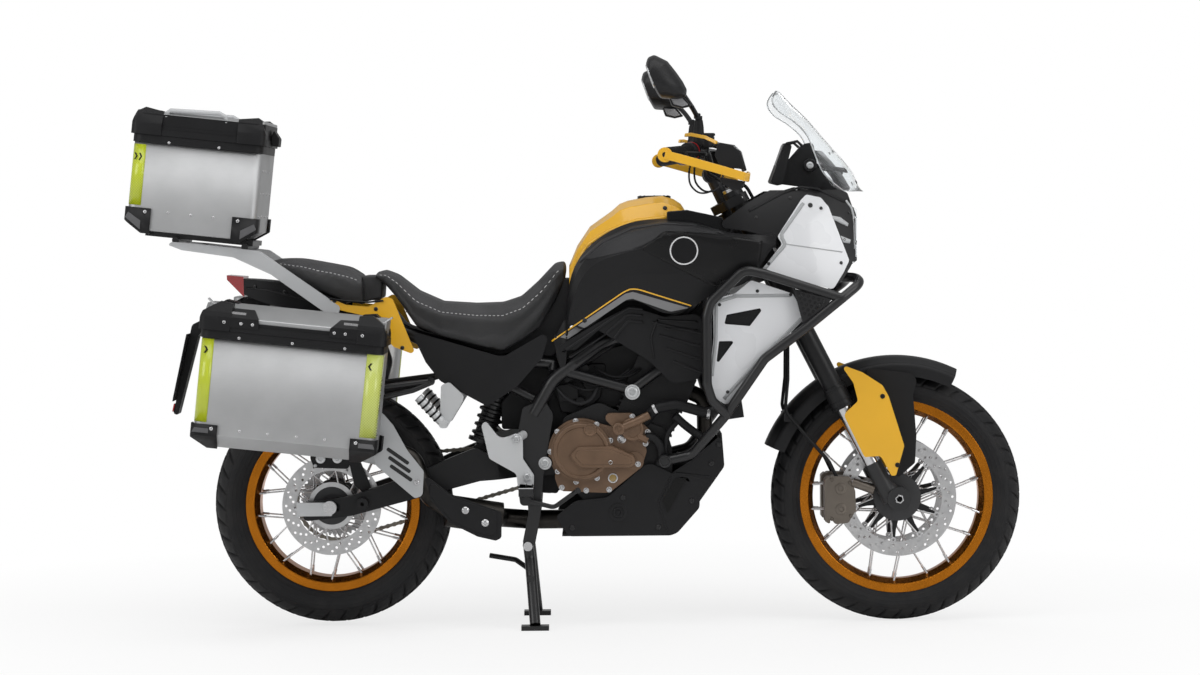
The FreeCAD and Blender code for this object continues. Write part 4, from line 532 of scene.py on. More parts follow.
chain_low, chain_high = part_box("drive_chain")
CHAIN_Y = (chain_low.y + chain_high.y) * 500
SPROCKET = Vector((-12, CHAIN_Y, 437))
SPROCKET_R = 42
CROWN_WHEEL = Vector((REAR_AXLE.x * 1000, CHAIN_Y, REAR_AXLE.z * 1000))
CROWN_WHEEL_R = 106
LINKS = 96
pins = chain_route(SPROCKET, SPROCKET_R, CROWN_WHEEL, CROWN_WHEEL_R, LINKS)
LINK_PLATE = [(-5, 0), (-3.6, 4.4), (0, 5.6), (5, 3.9), (11, 3.9), (16, 5.6), (19.6, 4.4), (21, 0),
              (19.6, -4.4), (16, -5.6), (11, -3.9), (5, -3.9), (0, -5.6), (-3.6, -4.4)]
PLATE_WALL = 1.6
links = Mould()
for i, pin in enumerate(pins):
    ahead = pins[(i + 1) % len(pins)]
    way = (ahead - pin).normalized()
    across = Vector((-way.z, 0, way.x))
    spread = 6.6 if i % 2 else 4.4
    for side in (1, -1):
        links.grid([[pin + way * a + across * b + Vector((0, y, 0)) for a, b in LINK_PLATE]
                    for y in (side * spread, side * (spread + PLATE_WALL))], closed=True, caps=True)
    links.tube([pin + Vector((0, -7.6, 0)), pin + Vector((0, 7.6, 0))], 4.4, 8)
oily = metal("oiled_chain", (0.30, 0.28, 0.24), 0.38)
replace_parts(links.piece("chain_links", oily, "chassis", "chain_steel"), "drive_chain")
pinion = Mould().spin([(-3, 12), (-3, 36), (-1.6, 44), (1.6, 44), (3, 36), (3, 12)], SPROCKET, 15)
pinion.spin([(-8, 0), (-8, 17), (8, 17), (8, 0)], SPROCKET, 24)
pinion.piece("front_sprocket", oily, "chassis", "chain_steel", edge=0.5)


# Rear caliper, axles and disc carriers. A black two-piston caliper on its hook, and plated bolts through the
# pivots, with a silver adjuster block and its lock nut at the tip of each arm; and in front ten-armed black
# carriers, whose silver bobbins hold the discs.

def satin_plastic(name, colour, grain=0.0011, roughness=0.42):
    """Moulded plastic with a fine spark-eroded grain."""
    made = Finish(name, colour, 0.5, Specular_IOR_Level=0.28)
    cloud = made.noise(0.09, 4).ramp(0.35, 0.7)
    darker = tuple(c * 0.82 for c in colour)
    made.feed(Base_Color=made.mix(cloud, darker, colour), Roughness=cloud * 0.10 + roughness)
    return made.bump(made.noise(grain, 2), 0.0002, 0.6).material


def soft(corners, steps=5):
    """An outline whose corners (a, b, radius) are rounded."""
    outline = []
    count = len(corners)
    for i, corner in enumerate(corners):
        spot = Vector(corner[:2])
        if len(corner) < 3 or not corner[2]:
            outline.append(tuple(spot))
            continue
        before = Vector(corners[i - 1][:2]) - spot
        after = Vector(corners[(i + 1) % count][:2]) - spot
        room = 0.49 * min(before.length, after.length)
        before.normalize()
        after.normalize()
        half = before.angle(after) / 2
        reach = min(corner[2] / math.tan(half), room)
        middle = spot + (before + after).normalized() * (reach / math.cos(half))
        arms = [spot + way * reach - middle for way in (before, after)]
        start = math.atan2(arms[0].y, arms[0].x)
        sweep = math.atan2(arms[1].y, arms[1].x) - start
        sweep = (sweep + math.pi) % (2 * math.pi) - math.pi
        for k in range(steps + 1):
            turn = start + sweep * k / steps
            outline.append((middle.x + arms[0].length * math.cos(turn), middle.y + arms[0].length * math.sin(turn)))
    return outline


black_alloy = satin_plastic("black_alloy", (0.011, 0.011, 0.012), 0.0016, 0.36)
silver = metal("cast_silver", (0.62, 0.63, 0.64), 0.40, cloud=0.08)
dress("axle_bolts", bright_steel)
dress("rear_caliper", black_alloy)
blocks = Mould()
for side in (1, -1):
    blocks.prism(soft([(-728, 336, 4), (-640, 336, 4), (-640, 300, 4), (-728, 300, 4)]), side * 147.5, side * 151)
    blocks.prism([(-733, 338), (-727, 338), (-727, 298), (-733, 298)], side * 116, side * 151)
    blocks.tube([(-741, side * 132, 318), (-729, side * 132, 318)], 6.5, 6)
blocks.piece("axle_adjusters", silver, "chassis", "silver_cast", edge=0.8)
pads = Mould()
for x in (-672, -628):
    pads.button((x, -109, 448), (0, -1, 0), 13, 3, 20)
pads.button((-686, -109, 430), (0, -1, 0), 5, 3)
pads.piece("rear_caliper_caps", silver, "chassis", "silver_cast")
FRONT_X = FRONT_AXLE.x * 1000
FRONT_Z = FRONT_AXLE.z * 1000
CARRIER_ARMS = 10
BOBBIN_R = 113
bobbins = Mould()
for i in range(CARRIER_ARMS):
    turn = math.radians(36 * i + 12)
    for side in (1, -1):
        spot = (FRONT_X + BOBBIN_R * math.cos(turn), side * 71, FRONT_Z + BOBBIN_R * math.sin(turn))
        bobbins.spin([(-4.6, 3), (-4.6, 7.5), (4.6, 7.5), (4.6, 3)], spot, 16)
bobbins.piece("front_disc_bobbins", bright_steel, "front_wheel", "bolt_steel")
spider = Mould()
for side in (1, -1):
    centre = Vector((FRONT_X, side * 69, FRONT_Z))
    spider.spin([(-2.4, 44), (-2.4, 60), (2.4, 60), (2.4, 44)], centre, 48)
    for i in range(CARRIER_ARMS):
        turn = Matrix.Rotation(math.radians(-36 * i - 12), 3, "Y")
        arm = [(56, -9), (56, 9), (82, 5), (104, 5), (111, 2), (111, -2), (104, -5), (82, -5)]
        rows = [[centre + turn @ Vector((a, y, b)) for a, b in arm] for y in (-2.4, 2.4)]
        spider.grid(rows, closed=True, caps=True)
spider.piece("front_disc_carriers", black_alloy, "front_wheel", "black_alloy", edge=0.6)


# Fork. Black anodised outer tubes hold chromed inner tubes, with cast black feet that carry the axle and
# the two dull bronze calipers, rubber hoses from the lever to each caliper, yellow guards over the legs and
# a black mudguard.

RAKE = math.radians(26.9)
HEAD = joints["steering_head"] * 1000


def fork_point(down, ahead, y):
    """A point in the steering's own slanted frame."""
    return Vector((HEAD.x + down * math.sin(RAKE) + ahead * math.cos(RAKE), y,
                   HEAD.z - down * math.cos(RAKE) + ahead * math.sin(RAKE)))


def lacquer(name, colour, roughness=0.22, coat=0.6):
    """Sprayed paint under lacquer, with faint orange peel."""
    made = Finish(name, colour, roughness, 0.0, Coat_Weight=coat, Coat_Roughness=0.06)
    cloud = made.noise(0.16, 3).ramp(0.3, 0.75)
    darker = tuple(c * 0.93 for c in colour)
    made.feed(Base_Color=made.mix(cloud, darker, colour), Roughness=cloud * 0.06 + roughness)
    return made.bump(made.noise(0.004, 2), 0.00008, 0.5).material


black_plastic = satin_plastic("black_plastic", (0.009, 0.009, 0.010))
black_steel = lacquer("black_coat", (0.006, 0.006, 0.007), 0.34, 0.15)
yellow = lacquer("yellow_paint", (0.86, 0.46, 0.018), 0.28, 0.4)
hose_rubber = satin_plastic("hose_rubber", (0.008, 0.008, 0.009), 0.0006, 0.48)
caliper_bronze = metal("caliper_bronze", (0.20, 0.175, 0.15), 0.42, cloud=0.12)
for node in ("fork_tubes", "triple_clamps"):
    dress(node, black_alloy)
slider = Finish("slider_finish", (0.02, 0.02, 0.02), 0.4)
CHROME_END = 0.775
below_head = slider.along((math.sin(RAKE), 0, -math.cos(RAKE))) - HEAD.x * 0.001 * math.sin(RAKE)
chromed = (below_head + HEAD.z * 0.001 * math.cos(RAKE)) < CHROME_END
grime = slider.noise(0.03, 4)
slider.feed(Base_Color=slider.mix(chromed, (0.015, 0.015, 0.016), (0.62, 0.62, 0.63)), Metallic=chromed,
            Roughness=chromed * -0.28 + 0.38 + grime * 0.08)
dress("fork_sliders", slider.bump(slider.noise(0.0014, 2), 0.00012, 0.5).material)
dress("front_calipers", caliper_bronze)
dress("brake_hoses", hose_rubber)
dress("fork_guards", yellow)
dress("front_fender", black_plastic)
LEG_AHEAD = 33
LEG_Y = 105
UP_THE_FORK = fork_point(-10, 0, 0) - fork_point(0, 0, 0)
DOWN_THE_FORK = fork_point(1, 0, 0) - fork_point(0, 0, 0)
fork_bolts = Mould()
for side in (1, -1):
    fork_bolts.spin([(-2, 8.4), (-2, 12.5), (3, 12.5), (4.5, 11), (4.5, 8.4)],
                    (FRONT_X, side * 136, FRONT_Z), 6, (0, side, 0))
    for down in (0, 207):
        for ahead in (20, 46):
            fork_bolts.button(fork_point(down, ahead, side * 139), (0, side, 0), 5, 4, 12)
    fork_bolts.spin([(0, 24), (9, 24), (11, 20), (11, 9), (7, 8), (7, 0)],
                    fork_point(-27, LEG_AHEAD, side * LEG_Y), 24, UP_THE_FORK)
fork_bolts.piece("fork_bolts", bright_steel, "steering", "bolt_steel", edge=0.5)
rings = Mould()
for side in (1, -1):
    for down, radius, deep in ((556, 31, 5), (603, 32, 7), (588, 31, 2)):
        rings.spin([(0, 25), (0, radius), (deep, radius), (deep, 25)],
                   fork_point(down, LEG_AHEAD, side * LEG_Y), 32, DOWN_THE_FORK)
rings.piece("fork_seals", black_plastic, "steering", "black_plastic", edge=0.8)
guard_dark = Mould()
for side in (1, -1):
    for x, z in ((838, 420), (800, 600)):
        guard_dark.button((x, side * 140, z), (0, side, 0), 6.5, 3.4)
guard_dark.piece("fork_guard_bolts", black_plastic, "steering", "black_plastic")
pistons = Mould()
for side in (1, -1):
    for x, z in ((692, 356), (693, 302)):
        pistons.button((x, side * 101, z), (0, side, 0), 15, 3, 24)
    for x, z in ((668, 380), (668, 276), (716, 372), (718, 284)):
        pistons.button((x, side * 101, z), (0, side, 0), 5, 4, 12)
pistons.piece("front_caliper_caps", caliper_bronze, "steering", "silver_cast")


# Steering controls. A tapered black bar on two risers, ribbed rubber grips, switch boxes with a red ring,
# folding levers and a screw-capped fluid cup; yellow metal bows over the hands, with black shields; and
# mirrors on bent stalks with rubber boots.

def sweep(points, steps=6):
    """A smooth run through points, for hoses and cables."""
    spots = [Vector(p) for p in points]
    fine = []
    for i in range(len(spots) - 1):
        a, b = spots[i], spots[i + 1]
        slope_a = (b - spots[max(i - 1, 0)]) * 0.5
        slope_b = (spots[min(i + 2, len(spots) - 1)] - a) * 0.5
        for k in range(steps):
            t = k / steps
            fine.append(a * (2 * t ** 3 - 3 * t ** 2 + 1) + slope_a * (t ** 3 - 2 * t ** 2 + t)
                        + b * (3 * t ** 2 - 2 * t ** 3) + slope_b * (t ** 3 - t ** 2))
    return fine + [spots[-1]]


grip_rubber = satin_plastic("grip_rubber", (0.008, 0.008, 0.009), 0.0007, 0.55)
mirror_shell = satin_plastic("mirror_shell", (0.014, 0.014, 0.015), 0.0009, 0.34)
glass_back = metal("mirror_glass", (0.80, 0.82, 0.84), 0.05, cloud=0.04, depth=0.00001)
pale_wedge = satin_plastic("mirror_wedge", (0.28, 0.28, 0.29), 0.0008, 0.4)
red_gloss = lacquer("red_ring", (0.42, 0.008, 0.012), 0.3, 0.4)
dress("handlebar", black_alloy)
dress("controls", black_plastic)
SIDES = ((-1, "right"), (1, "left"))
for side, label in SIDES:
    inner = Vector((291, side * 306, 1238))
    end = Vector((237, side * 420, 1231))
    way = (end - inner).normalized()
    grip = Mould()
    for i in range(26):
        a = 8 + i * 4.4
        grip.spin([(a, 16.8), (a + 0.5, 18.1), (a + 2.6, 18.1), (a + 3.1, 16.8)], inner, 24, way)
    grip.spin([(4, 17), (4, 21), (7, 21), (8, 17)], inner, 24, way)
    grip.piece(label + "_grip_ribs", grip_rubber, "steering", "grip_rubber")
    boxes = Mould()
    boxes.spin([(-44, 18), (-44, 23.4), (-41, 24.6), (-24, 24.6), (-23, 23), (-20, 23), (-19, 24.6), (-2, 24.6),
                (0, 22), (0, 18)], inner, 28, way)
    pad_middle = inner - way * 22
    boxes.prism(soft([(pad_middle.x - 32, 1228, 4), (pad_middle.x - 20, 1228, 4), (pad_middle.x - 20, 1254, 4),
                      (pad_middle.x - 32, 1252, 4)]), pad_middle.y - 13, pad_middle.y + 13)
    boxes.piece(label + "_switch_box", black_plastic, "steering", "black_plastic", edge=0.8)
    ring = Mould().spin([(-19.6, 23), (-19.6, 25.4), (-23.2, 25.4), (-23.2, 23)], inner, 28, way)
    ring.piece(label + "_switch_ring", red_gloss, "steering", "lamp_red")
    lid = inner - way * 30 + Vector((38, -14 * side, 44))
    cup = Mould().spin([(-28, 17), (-28, 20.4), (-6, 20.4), (-6, 19.4), (-4, 19.4), (-4, 21.4), (2, 21.4), (3.4, 20),
                        (3.4, 12), (2.4, 11), (2.4, 0)], lid, 32, (0, 0, 1))
    for i in range(24):
        turn = 2 * math.pi * i / 24
        out = Vector((math.cos(turn), math.sin(turn), 0))
        cup.tube([lid + out * 21.2 + Vector((0, 0, -3)), lid + out * 21.2 + Vector((0, 0, 1.4))], 1.1, 5)
    cup.piece(label + "_fluid_cup", black_plastic, "steering", "black_plastic")
    cable = Mould()
    start = Vector((316, side * 250, 1222))
    loop = [start, start + Vector((-6, 6 * side, -30)), start + Vector((-2, 4 * side, -62)),
            start + Vector((22, -6 * side, -84)), start + Vector((54, -30 * side, -78)),
            start + Vector((70, -70 * side, -46)), start + Vector((66, -110 * side, -14))]
    cable.tube(sweep(loop), 2.6, 8)
    cable.piece(label + "_switch_cable", hose_rubber, "steering", "grip_rubber")


def ribbon(path, ups, low, high):
    """A flat bar along a path: low and high are its edges along ups, one way for each point."""
    rows = []
    for i, (spot, up) in enumerate(zip(path, ups)):
        spot, up = Vector(spot), Vector(up).normalized()
        way = (Vector(path[min(i + 1, len(path) - 1)]) - Vector(path[max(i - 1, 0)])).normalized()
        out = way.cross(up).normalized()
        rows.append([spot + up * low - out * 3.4, spot + up * high - out * 3.4, spot + up * high + out * 3.4,
                     spot + up * low + out * 3.4])
    return Mould().grid(rows, closed=True, caps=True)


for side, label in SIDES:
    bow_path = [(231, side * 446, 1229), (262, side * 452, 1221), (318, side * 462, 1205), (380, side * 458, 1187),
                (428, side * 444, 1173), (441, side * 424, 1170), (444, side * 380, 1172), (443, side * 336, 1176)]
    ups = [(0.25, 0, 1)] * 5 + [(0.15, 0, 1)] * 3
    bow = ribbon(bow_path, ups, -11, 11)
    bow.spin([(-4, 7), (-4, 19), (4, 19), (4, 7)], (231, side * 444, 1229), 28)
    upper = [(286, side * 330, 1281), (300, side * 352, 1282), (334, side * 392, 1274), (364, side * 410, 1259)]
    bow.join(ribbon(upper, [(0.2, 0, 1)] * 4, -5, 4))
    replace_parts(bow.piece(label + "_guard_bow", yellow, "steering", "yellow_metal", edge=1.6), "hand_guards")
    high_shell = []
    for u in range(9):
        y = side * (262 + u * 20)
        bulge = 8 * math.sin(math.pi * (u + 0.5) / 9)
        top = 1262 - 9 * abs(u - 5) / 5
        high_shell.append([(358, y, top - 4), (364, y, top), (402 + bulge, y, top - 8), (420 + bulge, y, 1237),
                           (437 + bulge * 0.4, y, 1189), (433, y, 1186), (415, y, 1234), (399, y, 1249),
                           (366, y, top - 6)])
    shell = Mould().grid(high_shell, closed=True, caps=True)
    shell.prism(soft([(367, 1260, 8), (402, 1252, 8), (418, 1237, 6), (435, 1190, 6), (370, 1199, 6),
                      (357, 1228, 8)]), side * 417, side * 424)
    shell.piece(label + "_upper_shield", mirror_shell, "steering", "black_plastic", edge=1.5, sharp=24)
    low_shell = []
    for u in range(8):
        y = side * (288 + u * 19)
        bulge = 7 * math.sin(math.pi * (u + 0.7) / 8)
        foot = 1137 + 9 * abs(u - 3.5) / 3.5
        low_shell.append([(370 + bulge, y, 1172), (430 + bulge, y, 1161), (424 + bulge, y, foot + 6),
                          (402 + bulge, y, foot), (398, y, foot + 4), (418, y, foot + 10), (424, y, 1158),
                          (370, y, 1168)])
    shell = Mould().grid(low_shell, closed=True, caps=True)
    shell.prism(soft([(371, 1168, 4), (430, 1160, 4), (421, 1141, 6), (402, 1137, 6), (372, 1160, 6)]),
                side * 416, side * 422)
    shell.piece(label + "_lower_shield", mirror_shell, "steering", "black_plastic", edge=1.5, sharp=24)
LEAF = [(206, 1481), (240, 1464), (262, 1436), (278, 1413), (288, 1393), (286, 1373), (265, 1368), (221, 1371),
        (208, 1394), (198, 1418), (185, 1458), (190, 1474)]
HOUSING = [(366, 0.3), (370, 0.5), (382, 0.74), (404, 0.92), (430, 1.0), (458, 0.98), (482, 0.84), (496, 0.62),
           (502, 0.38), (504, 0.2)]
GLASS = [(380, 0.5), (386, 0.66), (404, 0.86), (430, 0.96), (458, 0.94), (482, 0.78), (492, 0.56)]
GLASS_X = 208
GLASS_Z = 1394
GLASS_LEAN = 0.36
LEAF_MIDDLE = 1424
for side, label in SIDES:
    housing = []
    for y, size in HOUSING:
        row = []
        for x, z in soft([(*spot, 10) for spot in LEAF], 2):
            height = LEAF_MIDDLE + (z - LEAF_MIDDLE) * size
            ahead = (x - GLASS_X + (z - GLASS_Z) * GLASS_LEAN) * size
            row.append((GLASS_X - (height - GLASS_Z) * GLASS_LEAN + ahead, side * y, height))
        housing.append(row)
    shell = Mould().grid(housing, closed=True, caps=True)
    made = shell.piece(label + "_mirror_housing", mirror_shell, "steering", "black_plastic", sharp=30)
    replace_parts(made, "mirrors")
    glass = []
    for y, size in GLASS:
        heights = (LEAF_MIDDLE - 28 * size, LEAF_MIDDLE, LEAF_MIDDLE + 33 * size)
        glass.append([(GLASS_X - 0.4 - (z - GLASS_Z) * GLASS_LEAN, side * y, z) for z in heights])
    Mould().grid(glass).piece(label + "_mirror_glass", glass_back, "steering", "silver_cast", wall=1.5)
    stalk = sweep([(322, side * 268, 1310), (318, side * 274, 1328), (304, side * 306, 1352),
                   (284, side * 362, 1378), (268, side * 404, 1400)])
    arm = Mould().tube(stalk, 6.5, 14)
    arm.spin([(0, 9), (12, 9), (14, 7)], (318, side * 274, 1324), 6, (0, 0, 1))
    arm.piece(label + "_mirror_arm", black_alloy, "steering", "black_alloy")
    knuckle = Mould().prism([(240, 1380), (280, 1376), (300, 1351), (276, 1346), (250, 1352)],
                            side * 406, side * 440)
    knuckle.piece(label + "_mirror_knuckle", mirror_shell, "steering", "black_plastic", edge=3)
    wedge = Mould().prism([(246, 1374), (276, 1371), (291, 1354), (276, 1350), (254, 1356)],
                          side * 402, side * 444)
    wedge.piece(label + "_mirror_wedge", pale_wedge, "steering", "black_plastic", edge=2)
    boot = Mould()
    foot = Vector((322, side * 268, 1258))
    boot.spin([(-8, 14), (0, 16.5), (22, 15.5), (26, 13.6), (44, 12.8), (62, 10.5), (64, 6)], foot, 24, (0, 0, 1))
    boot.spin([(63, 5), (63, 9.6), (73, 9.6), (73, 5)], foot, 6, (0, 0, 1))
    boot.piece(label + "_mirror_boot", grip_rubber, "steering", "grip_rubber")


# Frame and chassis. Black powder-coated steel tubes, a cast black swingarm, a coil over the damper, the
# centre stand, cast silver footrest hangers, tube guards and the ribbed plate under the engine, with the
# airbox, the seat pan and the electric boxes that fill the frame.

def skin(names, x, z, side):
    """The outermost point of some CAD nodes at (x, z) in mm, seen from one side, and the way out of it."""
    best = None
    for name in names:
        shape = nodes[name] if isinstance(name, str) else name
        back = shape.matrix_world.inverted()
        hit, spot, normal, face = shape.ray_cast(back @ (Vector((x, side * 900, z)) * 0.001),
                                                 back.to_3x3() @ Vector((0, -side, 0)))
        if hit:
            spot = shape.matrix_world @ spot * 1000
            if best is None or side * spot.y > side * best[0].y:
                best = (spot, (shape.matrix_world.to_3x3() @ normal).normalized())
    return best


def heads(mould, names, spots, side, radius, height, sides, square=False):
    """Screw heads where spots (x, z) meet the outside of some nodes; square ones point straight out."""
    for x, z in spots:
        found = skin(names, x, z, side)
        if found:
            mould.button(found[0], (0, side, 0) if square else found[1], radius, height, sides)


def spring_finish():
    """Black paint on the coil, glossy under a thin coat."""
    made = Finish("spring_finish", (0.02, 0.02, 0.02), 0.32, 0.0, Coat_Weight=0.3)
    cloud = made.noise(0.02, 3)
    made.feed(Base_Color=made.mix(cloud, (0.010, 0.010, 0.011), (0.022, 0.022, 0.024)),
              Roughness=cloud * 0.12 + 0.26)
    return made.bump(made.noise(0.0016, 2), 0.0001, 0.5).material


bpy.context.view_layer.update()
for node in ("main_frame", "rear_subframe", "centre_stand", "crash_bars"):
    dress(node, black_steel)
dress("swingarm", black_alloy)
dress("rear_shock", spring_finish())
PEG_TOP = 0.376
hanger = Finish("footrest_finish", (0.62, 0.63, 0.64), 0.4)
low = hanger.along((0, 0, 1)) < PEG_TOP
dust = hanger.noise(0.012, 3)
hanger.feed(Base_Color=hanger.mix(low, (0.62, 0.63, 0.64), (0.012, 0.012, 0.013)), Metallic=low * -0.4 + 0.4,
            Roughness=dust * 0.12 + 0.34)
dress("footrests", hanger.bump(hanger.noise(0.0012, 2), 0.00012, 0.6).material)
dress("skid_plate", black_plastic)
# Near-black for a sheet of painted shade in the skid plate's window opening.
painted_shade_black = satin_plastic("painted_shade_black", (0.003, 0.003, 0.003), 0.0009, 0.6)
FILLERS = [
    (76, [(-506, 872, 10), (-452, 800, 20), (-404, 774, 20), (-300, 752, 20), (-206, 738, 20), (-150, 752, 20),
          (-104, 792, 30), (-60, 866, 20), (-36, 914, 8), (-14, 914, 8), (4, 850, 20), (-20, 770, 20),
          (-60, 706, 20), (-150, 722, 10), (-206, 712, 20), (-430, 768, 20), (-500, 810, 20)]),
    (92, [(-58, 712, 14), (0, 780, 20), (60, 846, 20), (110, 872, 20), (170, 878, 20), (330, 856, 20),
          (344, 800, 20), (240, 770, 20), (170, 752, 20), (110, 740, 20), (50, 700, 20), (-20, 664, 14)]),
    (60, [(52, 572, 10), (34, 716, 10), (204, 760, 10), (204, 572, 10)]),
    (34, [(-200, 588, 8), (-150, 640, 8), (-112, 702, 8), (-96, 722, 8), (-50, 724, 10), (-40, 690, 10),
          (-60, 640, 10), (-92, 556, 8), (-140, 516, 8), (-198, 516, 8)]),
    (50, [(-70, 640, 10), (-26, 604, 10), (-16, 520, 10), (-34, 400, 10), (-52, 346, 8), (-100, 350, 8),
          (-96, 480, 10), (-76, 560, 10)]),
    (70, [(-66, 640, 10), (-20, 664, 12), (40, 690, 20), (80, 690, 10), (64, 600, 20), (20, 556, 12),
          (-40, 560, 12)]),
    (90, [(330, 836, 14), (392, 800, 20), (404, 760, 14), (340, 740, 14)])]
fillers = Mould()
for half, outline in FILLERS:
    fillers.prism(soft(outline), -half, half)
fillers.piece("airbox_and_seat_pan", black_plastic, "chassis", "black_plastic", edge=4)
boxes = Mould()
for side in (1, -1):
    boxes.prism(soft([(-34, 655, 5), (28, 690, 5), (36, 676, 5), (-26, 640, 5)]), side * 92, side * 104)
    boxes.prism(soft([(-52, 632, 5), (0, 640, 5), (6, 600, 5), (-44, 590, 5)]), side * 70, side * 92)
    boxes.spin([(0, 24), (16, 24), (20, 20), (20, 8), (16, 7), (16, 0)], (40, side * 70, 640), 28, (0, side, 0))
    boxes.spin([(0, 15), (12, 15), (16, 12), (16, 0)], (10, side * 70, 590), 24, (0, side, 0))
    for x, z in ((-20, 700), (20, 730), (70, 765), (120, 790), (150, 770)):
        boxes.button((x, side * 92, z), (0, side, 0), 6, 4, 12)
boxes.piece("electric_boxes", black_alloy, "chassis", "black_alloy", edge=1.5)
big_bolts = Mould()
for side in (1, -1):
    for x, z, radius in ((147, 617, 17), (-83, 433, 13), (-157, 498, 11), (-130, 399, 11)):
        spot = skin(("main_frame", "footrests", "axle_bolts"), x, z, side)[0]
        big_bolts.spin([(0, radius + 3), (3, radius + 3), (4, radius + 1), (4, radius * 0.9), (11, radius * 0.86),
                        (13, radius * 0.66), (13, radius * 0.45), (7, radius * 0.4), (7, 0)], spot, 24, (0, side, 0))
big_bolts.piece("frame_bolts", silver, "chassis", "silver_cast", edge=0.6)
small_bolts = Mould()
for side in (1, -1):
    heads(small_bolts, ("skid_plate",), ((120, 340), (-14, 262), (212, 262), (300, 330), (352, 428), (372, 478)),
          side, 7, 4, 20, True)
    heads(small_bolts, ("crash_bars",), ((580, 868), (640, 852), (582, 802), (628, 842)), side, 5, 3, 16, True)
    spot = skin(("crash_bars",), 230, 436, side)[0]
    small_bolts.spin([(-1, 17), (3, 16), (4, 12), (0.5, 11), (0.5, 0)], spot, 28, (0, side, 0))
small_bolts.piece("guard_bolts", black_steel, "chassis", "black_steel", edge=0.5)
CREASES = [((186, 432), (252, 405)), ((252, 405), (350, 393)), ((252, 405), (212, 326)), ((212, 326), (236, 250))]
plate_lines = Mould()
for side, label in SIDES:
    for start, finish in CREASES:
        hits = [skin(("skid_plate",), *Vector(start).lerp(Vector(finish), t), side) for t in (0.02, 0.34, 0.66, 0.98)]
        spots = [found[0] for found in hits if found]
        if len(spots) > 1:
            plate_lines.tube(spots, 2.4, 6)
    # In the window opening on each side of the plate, a near-black sheet is painted shade.
    found = skin(("skid_plate",), 252, 350, side)
    if found:
        window = Mould().prism([(224, 331), (258, 391), (287, 390), (236, 300)], found[0].y - 3, found[0].y + 3)
        window.piece(label + "_plate_window_shade", painted_shade_black, "chassis", "black_steel")
    found = skin(("skid_plate",), 107, 302, side)
    if found:
        plate_lines.spin([(-2, 24), (2, 24), (3, 21), (3, 14), (6, 13), (6, 8), (3, 6), (3, 0)], found[0], 32,
                         (0, side, 0))
plate_lines.piece("skid_plate_creases", black_plastic, "chassis", "black_plastic")
GUARD_SLOPE = 0.92
GUARD_TOP = 880
holes = Mould()
for side in (1, -1):
    for row in range(5):
        for column in range(6):
            x = 574 + column * 13 + row * 4
            z = 874 - row * 13 - column * 4
            if z - 786 > (x - 588) * GUARD_SLOPE + 6 and z < GUARD_TOP:
                holes.spin([(0.2, 2), (0.2, 3.6), (1.4, 3.9), (1.4, 3.2), (0.6, 2.6)], (x, side * 272, z), 10,
                           (0, side, 0))
holes.piece("guard_perforations", black_alloy, "chassis", "black_steel")
pegs = Mould()
for side in (1, -1):
    for i in range(9):
        y = side * (192 + i * 8.6)
        pegs.prism([(-150, 378), (-147, 384), (-144, 378), (-134, 378), (-131, 384), (-128, 378), (-118, 378),
                    (-115, 384), (-112, 378)], y, y + side * 3.4)
    for i in range(5):
        t = 0.18 + i * 0.17
        middle = Vector((-350, side * 172, 545)).lerp(Vector((-410, side * 180, 610)), t)
        way = Vector((-60, side * 8, 65)).normalized()
        pegs.spin([(-2.6, 12), (-2.6, 14), (2.6, 14), (2.6, 12)], middle, 20, way)
pegs.piece("peg_teeth", black_alloy, "chassis", "black_steel", edge=0.5)


# Engine. A black-painted cast block with finned cylinders between bronze-coated side covers with raised
# plates and an oil sight glass, ringed with hex bolts, and a water pump, black hoses and their steel clips at
# the front, before a finned radiator core.

def around(x, z, radius, turns):
    """Points (x, z) on a circle, at some angles in degrees."""
    return [(x + radius * math.cos(math.radians(a)), z + radius * math.sin(math.radians(a))) for a in turns]


def cast_paint(name, colour, rough=0.5):
    """Sand-cast alloy under thin paint."""
    made = Finish(name, colour, rough, 0.35)
    cloud = made.noise(0.05, 4).ramp(0.3, 0.75)
    grain = made.noise(0.0022, 3)
    made.feed(Base_Color=made.mix(cloud, tuple(c * 0.72 for c in colour), colour),
              Roughness=grain * 0.2 + rough - 0.1)
    return made.bump(grain, 0.00035, 0.7).material


engine_paint = cast_paint("engine_paint", (0.013, 0.013, 0.014))
bronze = cast_paint("bronze_cover", (0.185, 0.112, 0.068), 0.36)
radiator_black = satin_plastic("radiator_black", (0.008, 0.008, 0.009), 0.0009, 0.5)
dress("engine", engine_paint)
dress("engine_covers", bronze)
dress("radiator", radiator_black)
covers = Mould()
bolted = [(60, 552), (146, 553), (186, 512), (180, 482), (160, 428), (84, 362), (24, 360), (-40, 368)]
for x, z in around(12, 463, 81, range(20, 380, 40)) + bolted:
    found = skin(("engine_covers",), x, z, -1)
    if found:
        covers.spin([(-1, 7.5), (1, 7.5), (1, 5.4), (6, 5.2), (7, 4), (4.5, 2.8), (4.5, 0)], found[0], 12, (0, -1, 0))
for x, z in around(92, 456, 62, range(15, 375, 45)):
    found = skin(("engine_covers",), x, z, 1)
    if found:
        covers.spin([(-1, 7), (1, 7), (1, 5), (6, 5), (7, 4), (4, 2.8), (4, 0)], found[0], 12, (0, 1, 0))
covers.piece("cover_bolts", bright_steel, "chassis", "bolt_steel")
plates = Mould()
lozenge = soft([(-19, 453, 10), (2, 475, 8), (90, 477, 10), (149, 451, 8), (154, 432, 6), (140, 421, 6),
                (11, 422, 12)])
inner = soft([(-6, 452, 8), (6, 467, 6), (88, 469, 8), (141, 447, 6), (144, 434, 4), (136, 429, 4), (14, 430, 10)])
plates.prism(lozenge, -163, -159)
plates.prism(inner, -165, -162)
plates.spin([(0, 74), (4, 74), (6, 71), (6, 64), (2.5, 62), (2.5, 0)], (12, -149, 463), 64, (0, -1, 0))
